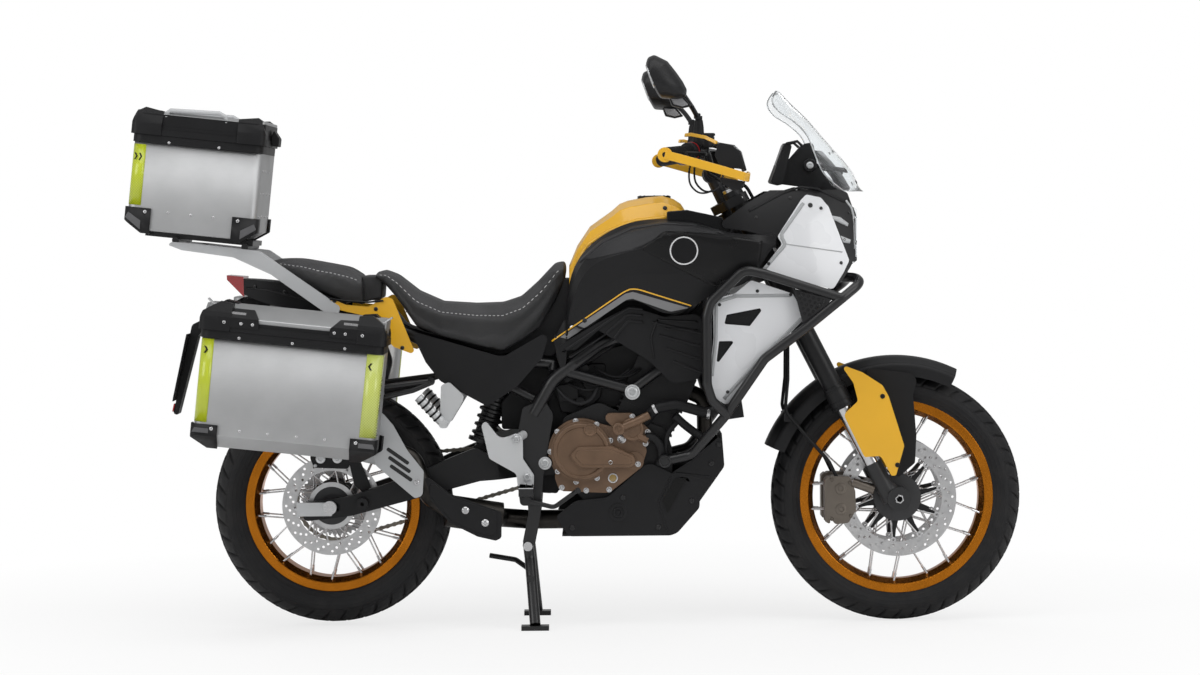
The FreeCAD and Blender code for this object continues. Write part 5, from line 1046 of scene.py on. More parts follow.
plates.spin([(0, 30), (5, 30), (7, 27), (7, 22), (4, 20), (4, 0)], (146, -151, 520), 40, (0, -1, 0))
plates.tube([(110, -156, 522), (150, -158, 538), (190, -154, 557)], 11, 16)
plates.tube([(160, -150, 504), (186, -150, 490)], 10, 16)
plates.spin([(0, 16), (4, 16), (6, 13), (6, 9), (3, 8), (3, 0)], (110, -163, 522), 28, (0, -1, 0))
plates.spin([(0, 17), (3, 17), (4, 14), (1.4, 12), (1.4, 0)], (36, -153, 520), 28, (0, -1, 0))
plates.spin([(0, 46), (4, 46), (6, 43), (6, 30), (3, 28), (3, 0)], (92, 153, 456), 48, (0, 1, 0))
plates.piece("cover_plates", bronze, "chassis", "bronze_cast", edge=1.4)
glass = Finish("sight_glass", (0.30, 0.20, 0.05), 0.08, 0.0, Coat_Weight=0.8)
glass.feed(Roughness=glass.noise(0.01, 2) * 0.1 + 0.05)
eye_place = skin(("engine_covers",), 94, 392, -1)[0]
eye = Mould().spin([(0, 9.5), (1.5, 9.5), (2.2, 7), (2.2, 0)], eye_place, 28, (0, -1, 0))
eye.piece("oil_sight_glass", glass.bump(glass.noise(0.003, 2), 0.00005, 0.4).material, "chassis", "lamp_clear")
trim = Mould()
trim.spin([(0, 13), (3, 13), (3.6, 10.5), (1, 10.5), (1, 9.5)], eye_place, 32, (0, -1, 0))
pump_bolt = skin(("engine_covers",), 118, 494, -1)[0]
trim.spin([(-3, 12), (0, 12), (1, 9), (6, 8.6), (7, 7), (4.5, 5), (4.5, 0)], pump_bolt, 12, (0, -1, 0))
for spot, way in (((206, -146, 573), (0.72, -0.1, 0.35)), ((345, -158, 560), (-1, 0.05, 0.18))):
    trim.spin([(-4, 13.5), (-4, 16.5), (4, 16.5), (4, 13.5)], spot, 24, way)
trim.piece("hose_clips", bright_steel, "chassis", "bolt_steel", edge=0.5)
HOSES = [(11, 16, [(256, -146, 556), (276, -140, 536), (300, -132, 516), (322, -120, 500), (340, -104, 492)]),
         (12, 16, [(180, -146, 500), (202, -142, 496), (218, -138, 474), (222, -130, 446), (214, -120, 424)]),
         (7, 12, [(236, -128, 444), (232, -134, 470), (240, -134, 508), (262, -132, 536)])]
hoses = Mould()
for radius, sides, path in HOSES:
    hoses.tube(sweep(path), radius, sides)
for i in range(4):
    hoses.tube(sweep([(-20 + 22 * i, -104, 640 + 14 * i), (30 + 20 * i, -122, 622 + 12 * i),
                      (90 + 16 * i, -118, 640 + 6 * i), (140 + 10 * i, -108, 676)]), 3.2, 8)
hoses.tube(sweep([(-60, -120, 640), (-30, -138, 606), (6, -140, 588), (40, -136, 600), (60, -118, 640)]), 5, 10)
hoses.piece("engine_hoses", hose_rubber, "chassis", "black_plastic")
core = Mould()
tilt = Matrix.Translation((400, 0, 552)) @ Matrix.Rotation(math.radians(-8), 4, "Y")
FINS = 56
FIN_PITCH = 4
for i in range(1, FINS + 1):
    fin = FIN_PITCH * i
    core.prism([(33, fin), (34.6, fin), (34.6, fin + 1.4), (33, fin + 1.4)], -146, 146)
core.piece("radiator_fins", engine_paint, "chassis", "radiator_core", tilt)


# Exhaust. Dark steel headers and collector box behind a moulded cover, a silencer with a black end cap, and
# a silver-painted heat shield with three black slots, held by two hex bolts.

shield_metal = lacquer("heat_shield", (0.46, 0.47, 0.48), 0.34, 0.2)
pipe = Finish("header_steel", (0.2, 0.19, 0.18), 0.36, 1.0)
heat = pipe.noise(0.06, 4).ramp(0.3, 0.7)
pipe.feed(Base_Color=pipe.mix(heat, (0.022, 0.021, 0.020), (0.060, 0.055, 0.050)), Roughness=heat * 0.16 + 0.3)
dress("exhaust_pipes", pipe.bump(pipe.noise(0.002, 2), 0.0001, 0.6).material)
dress("silencer", shield_metal)
can_start = Vector((-478, -158, 474))
can_way = Vector((-0.971, 0, 0.239)).normalized()
ends = Mould()
ends.spin([(372, 40), (372, 51.2), (392, 51.2), (400, 46), (402, 30), (398, 24)], can_start, 48, can_way)
ends.spin([(20, 34), (20, 51.2), (34, 51.2), (34, 50)], can_start, 48, can_way)
ends.piece("silencer_ends", black_steel, "chassis", "black_steel", edge=1)
slots = Mould()
for k in range(3):
    slots.prism([(-430 - 4 * k, 392 + 22 * k), (-424 - 4 * k, 400 + 22 * k), (-480 - 4 * k, 440 + 22 * k),
                 (-486 - 4 * k, 432 + 22 * k)], -211.8, -209)
slots.piece("shield_slots", black_steel, "chassis", "black_steel")
shield_bolts = Mould()
for x, z in ((-512, 486), (-414, 392)):
    shield_bolts.spin([(-1, 9), (1, 9), (1, 6.4), (6, 6), (7, 4), (4, 3), (4, 0)], (x, -213.5, z), 12, (0, -1, 0))
for x, z in ((-372, 372), (-236, 262), (-224, 312), (-330, 342)):
    found = skin(("exhaust_pipes",), x, z, -1)
    if found:
        shield_bolts.spin([(-2, 8), (1, 8), (1, 6), (6, 6), (7, 4), (4, 3), (4, 0)], found[0], 12, (0, -1, 0))
for x, z in ((-290, 316), (-239, 283)):
    shield_bolts.spin([(-2, 9.6), (1, 9.6), (2.4, 7.4), (6, 7), (7, 5), (4, 3.6), (4, 0)], (x, -197.5, z), 12,
                      (0, -1, 0))
shield_bolts.piece("exhaust_bolts", bright_steel, "chassis", "bolt_steel")
cover = Mould()
wall = soft([(-397, 413, 14), (-331, 360, 20), (-196, 311, 10), (-197, 243, 10), (-212, 236, 8), (-259, 247, 20),
             (-332, 284, 20), (-401, 369, 12)])
cover.prism(wall, -196, -192)
cover.prism([(a * 0.86 - 40, b * 0.82 + 56) for a, b in wall], -198.5, -195)
cover.piece("exhaust_cover", black_plastic, "chassis", "black_steel", edge=2)


# Tank. A yellow lacquered steel tank with a lipped lower edge and a screwed filler cap, between two wide
# matte black covers with a glossy recess round a blank ring, a painted highlight in lighter black on the
# shoulder above it and along the top edge, a yellow pinstripe and a grey band below it, and ribbed dark panels under
# them.

def along(line, share):
    """The point a share of the way along a line of (x, z) points."""
    spots = [Vector(p) for p in line]
    left = share * sum((b - a).length for a, b in zip(spots, spots[1:]))
    for a, b in zip(spots, spots[1:]):
        if left <= (b - a).length:
            return a.lerp(b, left / (b - a).length)
        left -= (b - a).length
    return spots[-1]


def patch(names, upper, lower, side, lift, across=28, down=4):
    """A thin skin over the outside of some nodes, between an upper and a lower line."""
    rows = []
    for i in range(across + 1):
        row = []
        high, low = along(upper, i / across), along(lower, i / across)
        for j in range(down + 1):
            spot = high.lerp(low, j / down)
            found = skin(names, spot.x, spot.y, side)
            if found:
                row.append(found[0] + found[1] * lift)
            else:
                near = row[-1] if row else (rows[-1][j] if rows else Vector((spot.x, side * 150, spot.y)))
                row.append(Vector((spot.x, near.y, spot.y)))
        rows.append(row)
    return Mould().grid(rows)


def stripe(names, line, width, side, lift, across=40):
    """A thin strip of one width over the outside of some nodes."""
    spots = [along(line, i / across) for i in range(across + 1)]
    upper, lower = [], []
    for i, spot in enumerate(spots):
        way = (spots[min(i + 1, across)] - spots[max(i - 1, 0)]).normalized()
        out = Vector((-way.y, way.x)) * width / 2
        upper.append(spot + out)
        lower.append(spot - out)
    return patch(names, upper, lower, side, lift, across, 1)


matte_black = satin_plastic("matte_black", (0.0085, 0.0085, 0.0095), 0.0009, 0.36)
# A lighter black used as painted highlight on the covers' top edge and shoulder, where they face the light.
painted_highlight_black = satin_plastic("painted_highlight_black", (0.030, 0.030, 0.032), 0.0009, 0.40)
gloss_side = satin_plastic("gloss_side", (0.005, 0.005, 0.0055), 0.0009, 0.26)
grey_band = lacquer("grey_band", (0.20, 0.20, 0.205), 0.4, 0.2)
white_ring = lacquer("white_ring", (0.75, 0.75, 0.76), 0.3, 0.4)
gloss_black = satin_plastic("gloss_black", (0.004, 0.004, 0.005), 0.0009, 0.16)
dress("tank_covers", matte_black)
dress("side_panels", black_plastic)
TANK = [(-16, 948, 82), (6, 1000, 94), (40, 1050, 110), (97, 1090, 128), (119, 1109, 134), (140, 1117, 139),
        (190, 1127, 146), (231, 1130, 149), (262, 1120, 146), (280, 1108, 140), (292, 1089, 128)]
TANK_FOOT = 880
SHOULDER_DROP = 0.40
tank_rows = []
for x, top, half in TANK:
    shoulder = top - SHOULDER_DROP * half
    arch = [(0, top), (half * 0.40, top - 2), (half * 0.56, top - 9), (half * 0.84, (top + shoulder) / 2 + 10),
            (half * 0.93, shoulder + 16), (half, shoulder - 4), (half, (shoulder + TANK_FOOT) / 2),
            (half - 2, TANK_FOOT)]
    tank_rows.append([(x, y, z) for y, z in reversed(arch)] + [(x, -y, z) for y, z in arch[1:]])
tank = Mould().grid(tank_rows, caps=True).piece("tank_body", yellow, "chassis", "yellow_paint", sharp=26, edge=3)
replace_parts(tank, "fuel_tank")
bpy.context.view_layer.update()
COVER = ("tank_covers", "side_panels")
RING_MIDDLE = (282, 986)
RING_R = 35
for side, label in SIDES:
    recess = patch(COVER, [(176, 991), (233, 1035), (365, 1026), (485, 1008)],
                   [(176, 989), (270, 938), (364, 889), (474, 936)], side, 1.4, 36, 10)
    recess.piece(label + "_cover_recess", gloss_side, "chassis", "black_plastic", wall=1.5)
    line = stripe(COVER, [(-62, 752), (128, 881), (146, 888), (166, 886), (300, 843)], 3.4, side, 0.7)
    line.piece(label + "_pinstripe", yellow, "chassis", "yellow_paint")
    band = patch(COVER, [(-40, 762), (130, 875), (150, 880), (292, 838)],
                 [(-20, 757), (134, 860), (150, 862), (246, 828), (292, 837)], side, 0.6, 40, 4)
    band.piece(label + "_grey_band", grey_band, "chassis", "black_plastic")
    ring = stripe(COVER, around(*RING_MIDDLE, RING_R, range(0, 361, 10)), 3.4, side, 2.9, 48)
    ring.piece(label + "_badge_ring", white_ring, "chassis", "white_plastic")
    disc = []
    for r in (0.5, 11, 22, 33):
        hits = [skin(COVER, x, z, side) for x, z in around(*RING_MIDDLE, r, range(0, 360, 15))]
        disc.append([spot + way * 2.6 for spot, way in hits])
    Mould().grid(disc, closed=True).piece(label + "_badge_disc", gloss_black, "chassis", "black_plastic")
    # The edge strip and the shoulder patch in the lighter black are a painted highlight along the cover's top edge
    # and over its shoulder.
    edge = stripe(COVER, [(12, 958), (70, 1010), (150, 1046), (235, 1058), (310, 1053), (385, 1030)], 7, side, 1.2)
    edge.piece(label + "_cover_edge_highlight", painted_highlight_black, "chassis", "black_plastic", wall=2)
    shoulder = patch(COVER, [(24, 966), (80, 1012), (152, 1042), (235, 1053), (310, 1048), (372, 1032)],
                     [(34, 964), (178, 993), (233, 1037), (365, 1028)], side, 0.7, 36, 6)
    shoulder.piece(label + "_cover_shoulder_highlight", painted_highlight_black, "chassis", "black_plastic", wall=0.8)
    infill = Mould().prism(soft([(240, 1087, 4), (292, 1091, 8), (384, 1071, 5), (402, 1044, 6), (394, 1014, 6),
                                 (240, 1036, 6)]), side * 150, side * 170)
    infill.piece(label + "_tank_infill", gloss_black, "chassis", "black_plastic", edge=4)
    ribs = Mould()
    for shift in (0, 17, 34):
        ribs.join(stripe(COVER, [(-34 + shift, 724 - shift * 0.9), (60 + shift, 786 - shift), (138, 838 - shift),
                                 (176, 834 - shift)], 7, side, 3))
    for line in ([(214, 806), (318, 800)], [(214, 806), (196, 760), (204, 706)], [(230, 784), (318, 778)]):
        ribs.join(stripe(COVER, line, 5, side, 2.5, 12))
    ribs.piece(label + "_panel_ribs", matte_black, "chassis", "black_plastic", wall=3)
    lip = stripe((tank,), [(2, 940), (10, 968), (32, 1002), (86, 1038), (160, 1064), (240, 1072)], 9, side, 1.8)
    lip.piece(label + "_tank_lip", yellow, "chassis", "yellow_paint", wall=2)
    screws = Mould()
    heads(screws, (tank,), ((236, 1096),), side, 6, 3, 20)
    heads(screws, COVER, ((312, 838), (24, 806)), side, 6, 3, 20)
    screws.piece(label + "_cover_screws", black_steel, "chassis", "black_steel")
cap = Mould()
cap.spin([(-6, 44), (1, 44), (2.4, 41), (2.4, 31), (1, 29), (1, 0)], (210, 0, 1127), 48, (0, 0, 1))
for i in range(8):
    turn = math.radians(45 * i)
    cap.button((210 + 36 * math.cos(turn), 36 * math.sin(turn), 1129), (0, 0, 1), 3, 1.4, 10)
cap.prism(soft([(190, 9, 3), (210, 12, 8), (230, 9, 3), (230, -9, 3), (210, -12, 8), (190, -9, 3)]), 1127, 1130, "Z")
cap.piece("filler_cap", black_alloy, "chassis", "black_alloy", edge=0.8)


# Shrouds and nose. White lacquered shrouds in two panels a side, with windows over a dark perforated
# plate and grey inner borders, black cowl arms with pale lamp strips, a glazed headlight, the instrument
# slab on its carrier, and a clear screen with pale etched edges, two knobs and a dark insert at its foot.

def within(outline, x, z):
    """Whether (x, z) lies inside an outline."""
    inside = False
    for (a, b), (c, d) in zip(outline, outline[1:] + outline[:1]):
        if (b > z) != (d > z) and x < (c - a) * (z - b) / (d - b) + a:
            inside = not inside
    return inside


white = lacquer("white_paint", (0.74, 0.75, 0.77), 0.26, 0.5)
pale_grey = lacquer("shroud_border", (0.38, 0.39, 0.40), 0.34, 0.3)
clear = Finish("clear_screen", (0.93, 0.95, 0.96), 0.05, Transmission_Weight=0.96, IOR=1.16)
clear.feed(Roughness=clear.noise(0.3, 2) * 0.04 + 0.02)
clear = clear.bump(clear.noise(0.2, 2), 0.0001, 0.2).material
etched = Finish("etched_edge", (0.70, 0.72, 0.73), 0.5, Transmission_Weight=0.35)
etched.feed(Roughness=etched.noise(0.004, 2) * 0.2 + 0.4)
etched = etched.bump(etched.noise(0.001, 2), 0.0001, 0.4).material
chrome = metal("lamp_chrome", (0.82, 0.83, 0.84), 0.08, cloud=0.04, depth=0.00001)
dress("shrouds", white)
dress("nose_cowl", matte_black)
dress("headlight", black_plastic)
dress("headlight_lens", clear)
dress("windscreen", clear)
dress("dash", black_plastic)
SHROUD = ("shrouds",)
WINDOWS = [[(380, 792), (388, 824), (480, 840), (484, 828), (452, 786)], [(366, 756), (414, 756), (362, 682)]]
MESH_DEPTH = 14
for side, label in SIDES:
    borders = Mould()
    for width, line in ((9, [(594, 1106), (532, 1022), (545, 1000), (488, 936)]),
                        (9, [(418, 868), (364, 853), (362, 760), (351, 662)]),
                        (9, [(382, 602), (470, 700), (536, 762), (584, 808)]), (9, [(400, 868), (556, 868)]),
                        (2.4, [(540, 1001), (694, 978)])):
        borders.join(stripe(SHROUD, line, width, side, 0.9, 24))
    borders.piece(label + "_shroud_borders", pale_grey, "chassis", "white_plastic", wall=1)
    plate = Mould()
    base = side * (abs(skin(SHROUD, 372, 806, side)[0].y) - MESH_DEPTH)
    for outline in WINDOWS:
        plate.prism(outline, base, base - side * 2)
        for row in range(14):
            for column in range(16):
                x, z = 368 + column * 8 + (row % 2) * 4, 688 + row * 11
                if within(outline, x, z):
                    plate.spin([(0, 1.6), (0.2, 2.9), (1.2, 2.9), (1.2, 1.9)], (x, base, z), 8, (0, side, 0))
    plate.piece(label + "_shroud_mesh", black_alloy, "chassis", "black_steel")
    fix = Mould()
    heads(fix, SHROUD, ((612, 1100),), side, 6.5, 2.6, 20)
    heads(fix, SHROUD, ((640, 1092), (690, 950), (556, 870), (392, 620), (372, 846), (470, 880), (500, 950)),
          side, 4.5, 2.6, 20)
    heads(fix, ("nose_cowl",), ((470, 1070), (560, 1120), (700, 1010), (716, 1080)), side, 4.5, 2.4, 16)
    fix.piece(label + "_shroud_screws", black_steel, "chassis", "black_steel")
    lamp = patch(("nose_cowl",), [(668, 1072), (690, 1068), (712, 1051)], [(672, 1062), (688, 1054), (709, 1044)],
                 side, 2.2, 12, 2)
    lamp.join(patch(("nose_cowl",), [(690, 1020), (717, 1009)], [(697, 1002), (714, 1000)], side, 2.2, 12, 2))
    lamp.piece(label + "_lamp_strip", etched, "chassis", "lamp_clear", wall=2.5)
    rim_line = stripe(("headlight_lens", "headlight", "nose_cowl"),
                      [(707, 1112), (722, 1092), (730, 1056), (730, 986)], 5, side, 1.4, 24)
    rim_line.piece(label + "_lens_edge", etched, "chassis", "lamp_clear", wall=2)
    crease = stripe(("nose_cowl",), [(452, 1086), (540, 1132), (590, 1148), (640, 1138), (704, 1108)], 6, side, 1.6)
    crease.piece(label + "_cowl_crease", black_plastic, "chassis", "black_plastic", wall=2)
    projector = Mould()
    projector.spin([(0, 30), (9, 36), (11, 33), (4, 26), (3, 0)], (725.2, side * 50, 1036), 40, (1, 0, 0))
    projector.spin([(0, 14), (7, 18), (9, 16), (4, 11), (3, 0)], (725.2, side * 70, 982), 32, (1, 0, 0))
    projector.piece(label + "_projectors", chrome, "chassis", "silver_cast")
SCREEN_TOP = 1398
SCREEN_TOP_HALF = 70
levels = [(1136, 764, 706, 118), (1180, 738, 656, 122), (1230, 700, 632, 120), (1280, 656, 612, 118),
          (1316, 626, 578, 140), (1345, 598, 536, 152), (1375, 567, 520, 128),
          (SCREEN_TOP, 543, 530, SCREEN_TOP_HALF)]
rim = Mould()
for side in (1, -1):
    rim.tube(sweep([(x - 2, side * (half - 1.5), z) for z, middle, x, half in levels], 4), 1.7, 8)
middle, edge_x = levels[-1][1:3]
arc = [(edge_x - 2 + (middle - edge_x) * (1 - (y / SCREEN_TOP_HALF) ** 2), y, SCREEN_TOP) for y in range(-69, 70, 6)]
rim.tube(arc, 1.7, 8)
rim.piece("screen_edge", etched, "chassis", "screen_clear")
insert = []
for z, x in ((1146, 742), (1180, 722), (1215, 694), (1244, 668)):
    insert.append([(x - 12 - 26 * (y / 74) ** 2, y, z) for y in range(-72, 73, 12)])
Mould().grid(insert).piece("screen_insert", mirror_shell, "chassis", "black_plastic", wall=3)
KNOB = (618, 76, 1205)
bits = Mould()
for side in (1, -1):
    bits.spin([(0, 17), (4, 17.5), (8, 16), (8, 10), (5, 9), (5, 0)], (KNOB[0], side * KNOB[1], KNOB[2]), 20,
              (0, side, 0))
    bits.tube([(KNOB[0], side * 60, KNOB[2]), (KNOB[0], side * 74, KNOB[2])], 6, 12)
    for z in (1160, 1240):
        bits.button((760 - (z - 1136) * 0.78, side * 40, z), (1, 0, 0.4), 5, 3)
for side in (-1, 1):
    bits.tube([(556, side * 88, 1262), (585, side * 88, 1268), (598, side * 80, 1256)], 4, 10)
bits.piece("screen_knobs", black_alloy, "chassis", "black_alloy", edge=0.6)
hearts = Mould()
for side in (1, -1):
    hearts.spin([(4, 9), (9.4, 9), (10.4, 7.6), (10.4, 3.4), (8.6, 2.6), (8.6, 0)],
                (KNOB[0], side * KNOB[1], KNOB[2]), 20, (0, side, 0))
hearts.piece("knob_centres", silver, "chassis", "silver_cast")
face = Mould().grid([[(551.2, y, 1261), (516.4, y, 1165)] for y in (-80, 80)])
face.piece("dash_glass", gloss_black, "chassis", "black_plastic", wall=0.8)


# Seats. Two foam pads under stretched vinyl: a lighter grippy top panel and dark sides, joined by a seam
# with a white dashed stitch, a rounded lip at the back of the rider's seat, and a filler between the two.

CLOTH_STEPS = 20


def padding(rows, voxel, cap, held_z):
    """Points and faces of a stuffed cover: the rough form is blown up a little as cloth, held at its base."""
    rough = Mould().grid(rows, closed=True, caps=True)
    mesh = bpy.data.meshes.new("rough_pad")
    mesh.from_pydata([p * 0.001 for p in rough.points], [], rough.faces)
    shape = bmesh.new()
    shape.from_mesh(mesh)
    bmesh.ops.recalc_face_normals(shape, faces=shape.faces)
    shape.to_mesh(mesh)
    shape.free()
    pad = bpy.data.objects.new("rough_pad", mesh)
    bpy.context.scene.collection.objects.link(pad)
    remesh = pad.modifiers.new("even", "REMESH")
    remesh.mode = "VOXEL"
    remesh.voxel_size = voxel * 0.001
    graph = bpy.context.evaluated_depsgraph_get()
    even = bpy.data.meshes.new_from_object(pad.evaluated_get(graph))
    pad.modifiers.clear()
    pad.data = even
    start = [v.co.copy() for v in even.vertices]
    final = start
    held = pad.vertex_groups.new(name="held")
    held.add([v.index for v in even.vertices if v.co.z * 1000 < held_z(v.co.x * 1000)], 1.0, "REPLACE")
    cloth = pad.modifiers.new("padding", "CLOTH")
    cloth.settings.use_pressure = True
    cloth.settings.uniform_pressure_force = 4
    cloth.settings.effector_weights.gravity = 0
    cloth.settings.vertex_group_mass = "held"
    cloth.point_cache.frame_start = 1
    cloth.point_cache.frame_end = CLOTH_STEPS
    for step in range(1, CLOTH_STEPS + 1):
        bpy.context.scene.frame_set(step)
    graph = bpy.context.evaluated_depsgraph_get()
    blown = bpy.data.meshes.new_from_object(pad.evaluated_get(graph))
    final = []
    for before, after in zip(start, blown.vertices):
        move = after.co - before
        final.append(before + move * min(1, cap * 0.001 / max(move.length, 0.000001)))
    bpy.context.scene.frame_set(1)
    faces = [list(f.vertices) for f in even.polygons]
    bpy.data.objects.remove(pad)
    return [p * 1000 for p in final], faces


def seat_rows(stations, shrink):
    """Closed cross-sections through a seat, a little inside its finished size."""
    fine = []
    for a, b in zip(stations, stations[1:]):
        for k in range(4):
            fine.append([p + (q - p) * k / 4 for p, q in zip(a, b)])
    fine.append(list(stations[-1]))
    rows = []
    for x, top, half, low in fine:
        drop = top - low
        half -= shrink
        arch = [(0, top - shrink), (half * 0.55, top - 3 - shrink), (half * 0.88, top - 0.14 * drop - 3 - shrink),
                (half, top - 0.38 * drop), (half * 0.98, low + 0.25 * drop), (half * 0.94, low + 1)]
        rows.append([(x, y, z) for y, z in arch] + [(x, 0, low + 1)] + [(x, -y, z) for y, z in reversed(arch[1:])])
    rows[0] = [(x + shrink, y, z) for x, y, z in rows[0]]
    rows[-1] = [(x - shrink, y, z) for x, y, z in rows[-1]]
    return rows


def vinyl(name):
    """Grippy grain on the faces that look up, smoother dark vinyl down the sides, worn where one sits."""
    made = Finish(name, (0.02, 0.02, 0.021), 0.5)
    facing = made.wire.node("ShaderNodeNewGeometry", output="Normal").axes()[2].ramp(0.52, 0.66)
    wear = made.noise(0.07, 4).ramp(0.35, 0.7)
    top = made.mix(wear, (0.034, 0.034, 0.036), (0.052, 0.052, 0.055))
    flank = made.mix(wear, (0.012, 0.012, 0.013), (0.019, 0.019, 0.020))
    grain = made.wire.node("ShaderNodeTexVoronoi", {"feature": "DISTANCE_TO_EDGE"},
                           {"Vector": made.place(), "Scale": 420.0}).ramp(0.0, 0.18)
    made.feed(Base_Color=made.mix(facing, flank, top), Roughness=facing * 0.2 + 0.42 + wear * 0.06)
    return made.bump(grain, 0.0005, 0.7).material


HELD_BAND = 14
STITCH = 5.5
thread = satin_plastic("seat_thread", (0.62, 0.62, 0.62), 0.0004, 0.6)
RIDER = [(-530, 938, 92, 922), (-500, 941, 112, 904), (-468, 928, 124, 868), (-416, 886, 140, 792),
         (-350, 856, 152, 766), (-260, 850, 154, 742), (-190, 852, 146, 726), (-140, 868, 132, 752),
         (-95, 908, 112, 784), (-50, 956, 94, 858), (-22, 966, 80, 918)]
PILLION = [(-812, 968, 70, 952), (-780, 976, 100, 926), (-720, 973, 118, 900), (-640, 958, 124, 873),
           (-600, 950, 126, 858), (-552, 934, 118, 850)]
for name, node, stations, seam in (("rider_pad", "rider_seat", RIDER, (-512, -40)),
                                   ("pillion_pad", "passenger_seat", PILLION, (-796, -566))):
    def base_z(x, stations=stations):
        """Height below which a pad is held to its base."""
        for a, b in zip(stations, stations[1:]):
            if x <= b[0]:
                share = max(0, (x - a[0]) / (b[0] - a[0]))
                return a[3] + (b[3] - a[3]) * share + HELD_BAND
        return stations[-1][3] + HELD_BAND

    points, faces = padding(seat_rows(stations, 4), 6, 5, base_z)
    pad = Mould().add(points, faces).piece(name, vinyl(name + "_vinyl"), "chassis", "seat_cover", smooth=1)
    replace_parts(pad, node)
    bpy.context.view_layer.update()
    to_pad = pad.matrix_world.inverted()
    stitches = Mould()
    welt = Mould()
    for side in (1, -1):
        line = []
        x = seam[0]
        while x < seam[1]:
            for a, b in zip(stations, stations[1:]):
                if a[0] <= x <= b[0]:
                    top, half, low = [p + (q - p) * (x - a[0]) / (b[0] - a[0]) for p, q in zip(a[1:], b[1:])]
            near = Vector((x, side * half * 0.9, top - 0.20 * (top - low) - 4)) * 0.001
            hit, spot, normal, face = pad.closest_point_on_mesh(to_pad @ near)
            line.append((pad.matrix_world @ spot * 1000, pad.matrix_world.to_3x3() @ normal))
            x += STITCH
        for i in range(0, len(line) - 1, 2):
            a, b = line[i][0] + line[i][1] * 0.6, line[i + 1][0] + line[i + 1][1] * 0.6
            stitches.tube([a, b], 1.0, 6)
        welt.tube([spot + way * 0.2 - Vector((0, 0, 5)) for spot, way in line], 1.6, 6)
    stitches.piece(name + "_stitches", thread, "chassis", "seat_cover")
    welt.piece(name + "_welt", pad.data.materials[0], "chassis", "seat_cover")


joint = Mould().prism(soft([(-562, 856, 8), (-508, 866, 8), (-504, 920, 8), (-520, 926, 8), (-560, 926, 8)]), -86, 86)
joint.piece("seat_joint", pad.data.materials[0], "chassis", "seat_cover", edge=6)


# Tail. Yellow panels with dark bolts beside a black moulded cover, a ribbed red lamp, and a blank plate
# with a red reflector below it on its black hanger.

dress("tail_panels", yellow)
dress("tail_cover", black_plastic)
red = Finish("red_lens", (0.40, 0.006, 0.010), 0.15, 0.0, Coat_Weight=0.6)
cells = red.along((0, 1, 0)) * 700
red.feed(Roughness=red.noise(0.01, 2) * 0.1 + 0.1)
dress("tail_light", red.bump(cells.sine().ramp(-1.0, 1.0), 0.0004, 0.6).material)
tail_bits = Mould()
for side in (1, -1):
    heads(tail_bits, ("tail_panels",), ((-520, 840), (-452, 738), (-628, 862)), side, 5.5, 2.8, 20)
    heads(tail_bits, ("tail_cover",), ((-760, 886), (-840, 900)), side, 5.5, 2.8, 20)
tail_bits.piece("tail_screws", black_steel, "chassis", "black_steel")
creases = Mould()
for side in (1, -1):
    for names, line in ((("tail_cover",), [(-864, 896), (-800, 890), (-720, 870), (-622, 836)]),
                        (("tail_panels",), [(-640, 868), (-600, 862), (-540, 858), (-500, 862)])):
        creases.join(stripe(names, line, 5, side, 1.6, 24))
creases.piece("tail_creases", matte_black, "chassis", "black_plastic", wall=2)
plate_top = Vector((-1014, 0, 800))
down = (Vector((-1066, 0, 566)) - plate_top).normalized()
back = Vector((down.z, 0, -down.x))
blank = soft([(-92, 27, 8), (92, 27, 8), (92, 201, 8), (-92, 201, 8)])
ridge = soft([(-86, 33, 6), (86, 33, 6), (86, 195, 6), (-86, 195, 6)])
plate_white = lacquer("blank_plate", (0.62, 0.63, 0.64), 0.4, 0.2)
bar = soft([(-34, 214, 5), (34, 214, 5), (34, 236, 5), (-34, 236, 5)])
number = Mould()
reflector = Mould()
for mould, outline, lifts in ((number, blank, (2.4, 3.0)), (number, ridge, (3.0, 3.5)), (reflector, bar, (0.4, 4))):
    mould.grid([[plate_top + down * b + back * lift + Vector((0, a, 0)) for a, b in outline] for lift in lifts],
               closed=True, caps=True)
number.piece("blank_plate", plate_white, "chassis", "white_plastic")
reflector.piece("plate_reflector", nodes["tail_light"].data.materials[0], "chassis", "lamp_red", edge=1)


# Luggage. Two panniers and a top box of folded satin aluminium, each with rounded upright edges, black caps
# screwed over its lower corners, a black band riveted round its rim, bright reflective strips at its corners,
# and an aluminium lid in a black skirt with a faceted block on each corner, all on painted arms and rails.

def carved(outline, low, high, cuts=(), left_off=()):
    """An upright block on a plan outline, cut by planes (point, way out), with faces that look one way left off."""
    shape = bmesh.new()
    rows = [[shape.verts.new((x, y, z)) for x, y in outline] for z in (low, high)]
    count = len(outline)
    for i in range(count):
        k = (i + 1) % count
        shape.faces.new((rows[0][i], rows[0][k], rows[1][k], rows[1][i]))
    shape.faces.new(rows[1])
    shape.faces.new(list(reversed(rows[0])))
    for spot, way in cuts:
        everything = shape.verts[:] + shape.edges[:] + shape.faces[:]
        cut = bmesh.ops.bisect_plane(shape, geom=everything, dist=0.001, plane_co=spot, plane_no=way,
                                     clear_outer=True)
        rim = [e for e in cut["geom_cut"] if isinstance(e, bmesh.types.BMEdge)]
        bmesh.ops.holes_fill(shape, edges=rim, sides=0)
    bmesh.ops.recalc_face_normals(shape, faces=shape.faces)
    open_faces = [f for f in shape.faces if any(f.normal.dot(Vector(way)) > 0.9 for way in left_off)]
    bmesh.ops.delete(shape, geom=open_faces, context="FACES")
    shape.verts.index_update()
    block = Mould().add([v.co for v in shape.verts], [[v.index for v in f.verts] for f in shape.faces])
    shape.free()
    return block


